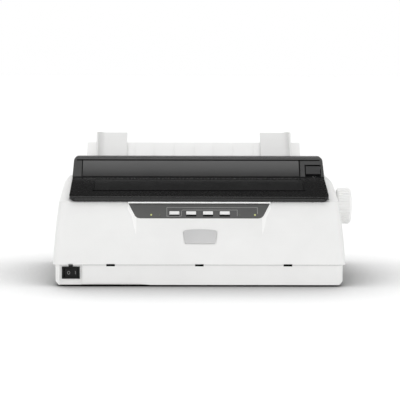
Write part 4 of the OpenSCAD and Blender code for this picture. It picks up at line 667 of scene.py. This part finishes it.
# The badge has an arched top edge and narrows towards its foot.
BADGE_LEAN, BADGE_THICK, BADGE_ROUND = 20.9, 1.4, 0.35      # degrees from upright, and mm
ARCH_HALF, ARCH_FOOT, ARCH_RISE = 20.2, 16.4, 2.5
BADGE_CORNERS = [(18.7, 0.1, 1.6), (20.8, 14.6, 1.2), (ARCH_HALF, ARCH_FOOT, 0.3), (0, 18, 0.1),
                 (-ARCH_HALF, ARCH_FOOT, 0.3), (-20.8, 14.6, 1.2), (-18.7, 0.1, 1.6)]
BADGE_SIDE = 16.2             # the arch takes over from the rounded corners above this
place = leaning("badge_plate", BADGE_LEAN, BADGE_THICK)
turns = [math.pi * k / 16 for k in range(17)]
arch = [Vector((ARCH_HALF * math.cos(t), ARCH_FOOT + ARCH_RISE * math.sin(t))) for t in turns]
sides = [p for p in rounded(BADGE_CORNERS) if p.y < BADGE_SIDE]
outline = [p for p in sides if p.x > 0] + arch + [p for p in sides if p.x < 0]
bm = bmesh.new()
prism(bm, outline, -BADGE_THICK, 0, place)
settle(finished(bm, "badge", BADGE_ROUND, 3), "badge_plate", badge_alu, ("badge_plate",))

# ---- power switch -----------------------------------------------------------------------------
MARK_HALF = 1.9               # half the height of both marks
RING_HALF, RING_LINE, RING_AT = 1.5, 0.7, -3.2      # half width, line and place across the rocker
DASH_LINE, DASH_AT = 0.8, 5.0
low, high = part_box("power_rocker")
middle = (low + high) / 2
turns = [2 * math.pi * k / 20 for k in range(20)]
ring = [(RING_HALF * math.cos(t), MARK_HALF * math.sin(t)) for t in turns]
ring_place = onto("power_rocker", middle.x + RING_AT * MM, middle.z)
dash_place = onto("power_rocker", middle.x + DASH_AT * MM, middle.z)
bm = bmesh.new()
stroke(bm, ring, RING_LINE, *INK, ring_place, closed=True)
stroke(bm, [(0, -MARK_HALF), (0, MARK_HALF)], DASH_LINE, *INK, dash_place)
settle(finished(bm, "rocker_marks"), "power_rocker", ink_grey)

# Painted shade: a black tab over the switch stands for the shade in a fourth slot along the seam.
NOTCH_RIGHT, NOTCH_UP = 10.7, 1.3      # its middle, from the left and the top of the switch
NOTCH_HALF = 2.8, 1.3                  # half its width and height
NOTCH_LEVELS, NOTCH_ROUND = (-0.1, 0.35), 0.15
low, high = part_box("switch_body")
place = onto("lower_case", low.x + NOTCH_RIGHT * MM, high.z + NOTCH_UP * MM)
bm = bmesh.new()
bar(bm, -NOTCH_HALF[0], NOTCH_HALF[0], -NOTCH_HALF[1], NOTCH_HALF[1], *NOTCH_LEVELS, place)
settle(finished(bm, "notch_shade", NOTCH_ROUND), "switch_body", nylon_black)


# ---- studio -----------------------------------------------------------------------------------
FLOOR_HALF = 12               # metres
FLOOR_GREY = 0.84             # how much light the floor throws back
SHADOW_REACH, SHADOW_DEPTH = 0.16, 1.5      # metres, and how steeply the corner shading falls
GLOW = 0.13, 0.13, 0.13, 1    # brings the open floor up to plain white for the eye
FILL = 0.36                   # the world's light on the object
ROOM = 0.05                   # how bright the room above the lit backdrop looks in a mirror
BACKDROP_TOP = 0.16, 0.42     # where the backdrop fades into the room, as a share of straight up


def shown_white(tree):
    """1 where the camera, a mirror or a lens looks at the backdrop, and 0 for its light."""
    path = add(tree, "LightPath")
    seen = add(tree, "Math", {"operation": "MAXIMUM"},
               {0: path.outputs["Is Camera Ray"], 1: path.outputs["Is Glossy Ray"]})
    seen = add(tree, "Math", {"operation": "MAXIMUM"},
               {0: seen.outputs[0], 1: path.outputs["Is Transmission Ray"]})
    return seen.outputs[0]


floor_mesh = bpy.data.meshes.new("floor")
bm = bmesh.new()
bmesh.ops.create_grid(bm, x_segments=1, y_segments=1, size=FLOOR_HALF)
bm.to_mesh(floor_mesh)
bm.free()
floor = link(floor_mesh, "floor")
# White paper sweep: matt. Corner shading deepens the soft shadow where the object stands on the
# paper, for the eye alone: the light that the paper throws back stays as it is.
paper, tree, out = blank("white_paper_sweep")
seen = shown_white(tree)
corner = add(tree, "AmbientOcclusion", {"samples": 8, "Distance": SHADOW_REACH})
depth = add(tree, "Math", {"operation": "POWER", 1: SHADOW_DEPTH}, {0: corner.outputs["AO"]})
shade = add(tree, "MapRange", {"To Min": 1.0}, {"Value": seen, "To Max": depth.outputs[0]})
tone = add(tree, "Math", {"operation": "MULTIPLY", 1: FLOOR_GREY}, {0: shade.outputs["Result"]})
lift = add(tree, "Math", {"operation": "MULTIPLY"}, {0: seen, 1: depth.outputs[0]})
matt = add(tree, "BsdfDiffuse", None, {"Color": tone.outputs[0]})
glow = add(tree, "Emission", {"Color": GLOW}, {"Strength": lift.outputs[0]})
both = add(tree, "AddShader", None, {0: matt.outputs[0], 1: glow.outputs[0]})
tree.links.new(both.outputs[0], out.inputs["Surface"])
coat(floor, paper)

# The lit backdrop ends some way above the object, so a mirror that looks up sees the dimmer room.
world = bpy.data.worlds.new("studio")
bpy.context.scene.world = world
world.use_nodes = True
tree = world.node_tree
tree.nodes.clear()
height = add(tree, "SeparateXYZ", None, {"Vector": add(tree, "TexCoord").outputs["Generated"]})
room = add(tree, "MapRange", {"interpolation_type": "SMOOTHSTEP", "From Min": BACKDROP_TOP[0],
                              "From Max": BACKDROP_TOP[1], "To Min": 1.0, "To Max": ROOM},
           {"Value": height.outputs["Z"]})
mirrored = add(tree, "Background", {"Color": (1, 1, 1, 1)}, {"Strength": room.outputs["Result"]})
level = add(tree, "MapRange", {"To Min": FILL, "To Max": 1.0}, {"Value": shown_white(tree)})
sky = add(tree, "Background", {"Color": (1, 1, 1, 1)}, {"Strength": level.outputs["Result"]})
path = add(tree, "LightPath")
either = add(tree, "MixShader", None,
             {0: path.outputs["Is Glossy Ray"], 1: sky.outputs[0], 2: mirrored.outputs[0]})
tree.links.new(either.outputs[0], tree.nodes.new("ShaderNodeOutputWorld").inputs["Surface"])


def lamp(name, comes_from, spread, strength, mirrored=True):
    """A wide soft light from one direction, as even over the floor as over the object."""
    data = bpy.data.lights.new(name, "SUN")
    data.angle = math.radians(spread)
    data.energy = strength
    lamp_object = bpy.data.objects.new(name, data)
    bpy.context.scene.collection.objects.link(lamp_object)
    lamp_object.rotation_euler = Vector(comes_from).to_track_quat("Z", "Y").to_euler()
    lamp_object.visible_glossy = mirrored


lamp("overhead_softbox", (-0.1, 0.2, 1), 50, 0.95)
lamp("back_softbox", (-0.1, 0.85, 0.5), 50, 1.5, mirrored=False)
lamp("left_softbox", (-1, -0.5, 0.4), 60, 0.75)
lamp("right_softbox", (1, -0.5, 0.4), 60, 0.65)
lamp("front_softbox", (0.15, -0.95, 0.12), 60, 1.1)

# The camera stands far off and a little to the left, and looks down by a few degrees.
CAMERA_AT = (-0.0394, -2.5175, 0.3061)
TURN, PITCH, ROLL = 0.77, 4.80, -0.155      # degrees
camera_data = bpy.data.cameras.new("camera")
camera = bpy.data.objects.new("camera", camera_data)
bpy.context.scene.collection.objects.link(camera)
camera.location = CAMERA_AT
aim = Matrix.Rotation(math.radians(-TURN), 4, "Z") @ Matrix.Rotation(math.radians(90 - PITCH), 4, "X")
camera.rotation_euler = (aim @ Matrix.Rotation(math.radians(-ROLL), 4, "Z")).to_euler()
camera_data.sensor_width = 36
camera_data.lens = 177.2
camera_data.clip_end = 50
bpy.context.scene.camera = camera
bpy.context.scene.view_settings.view_transform = "Standard"
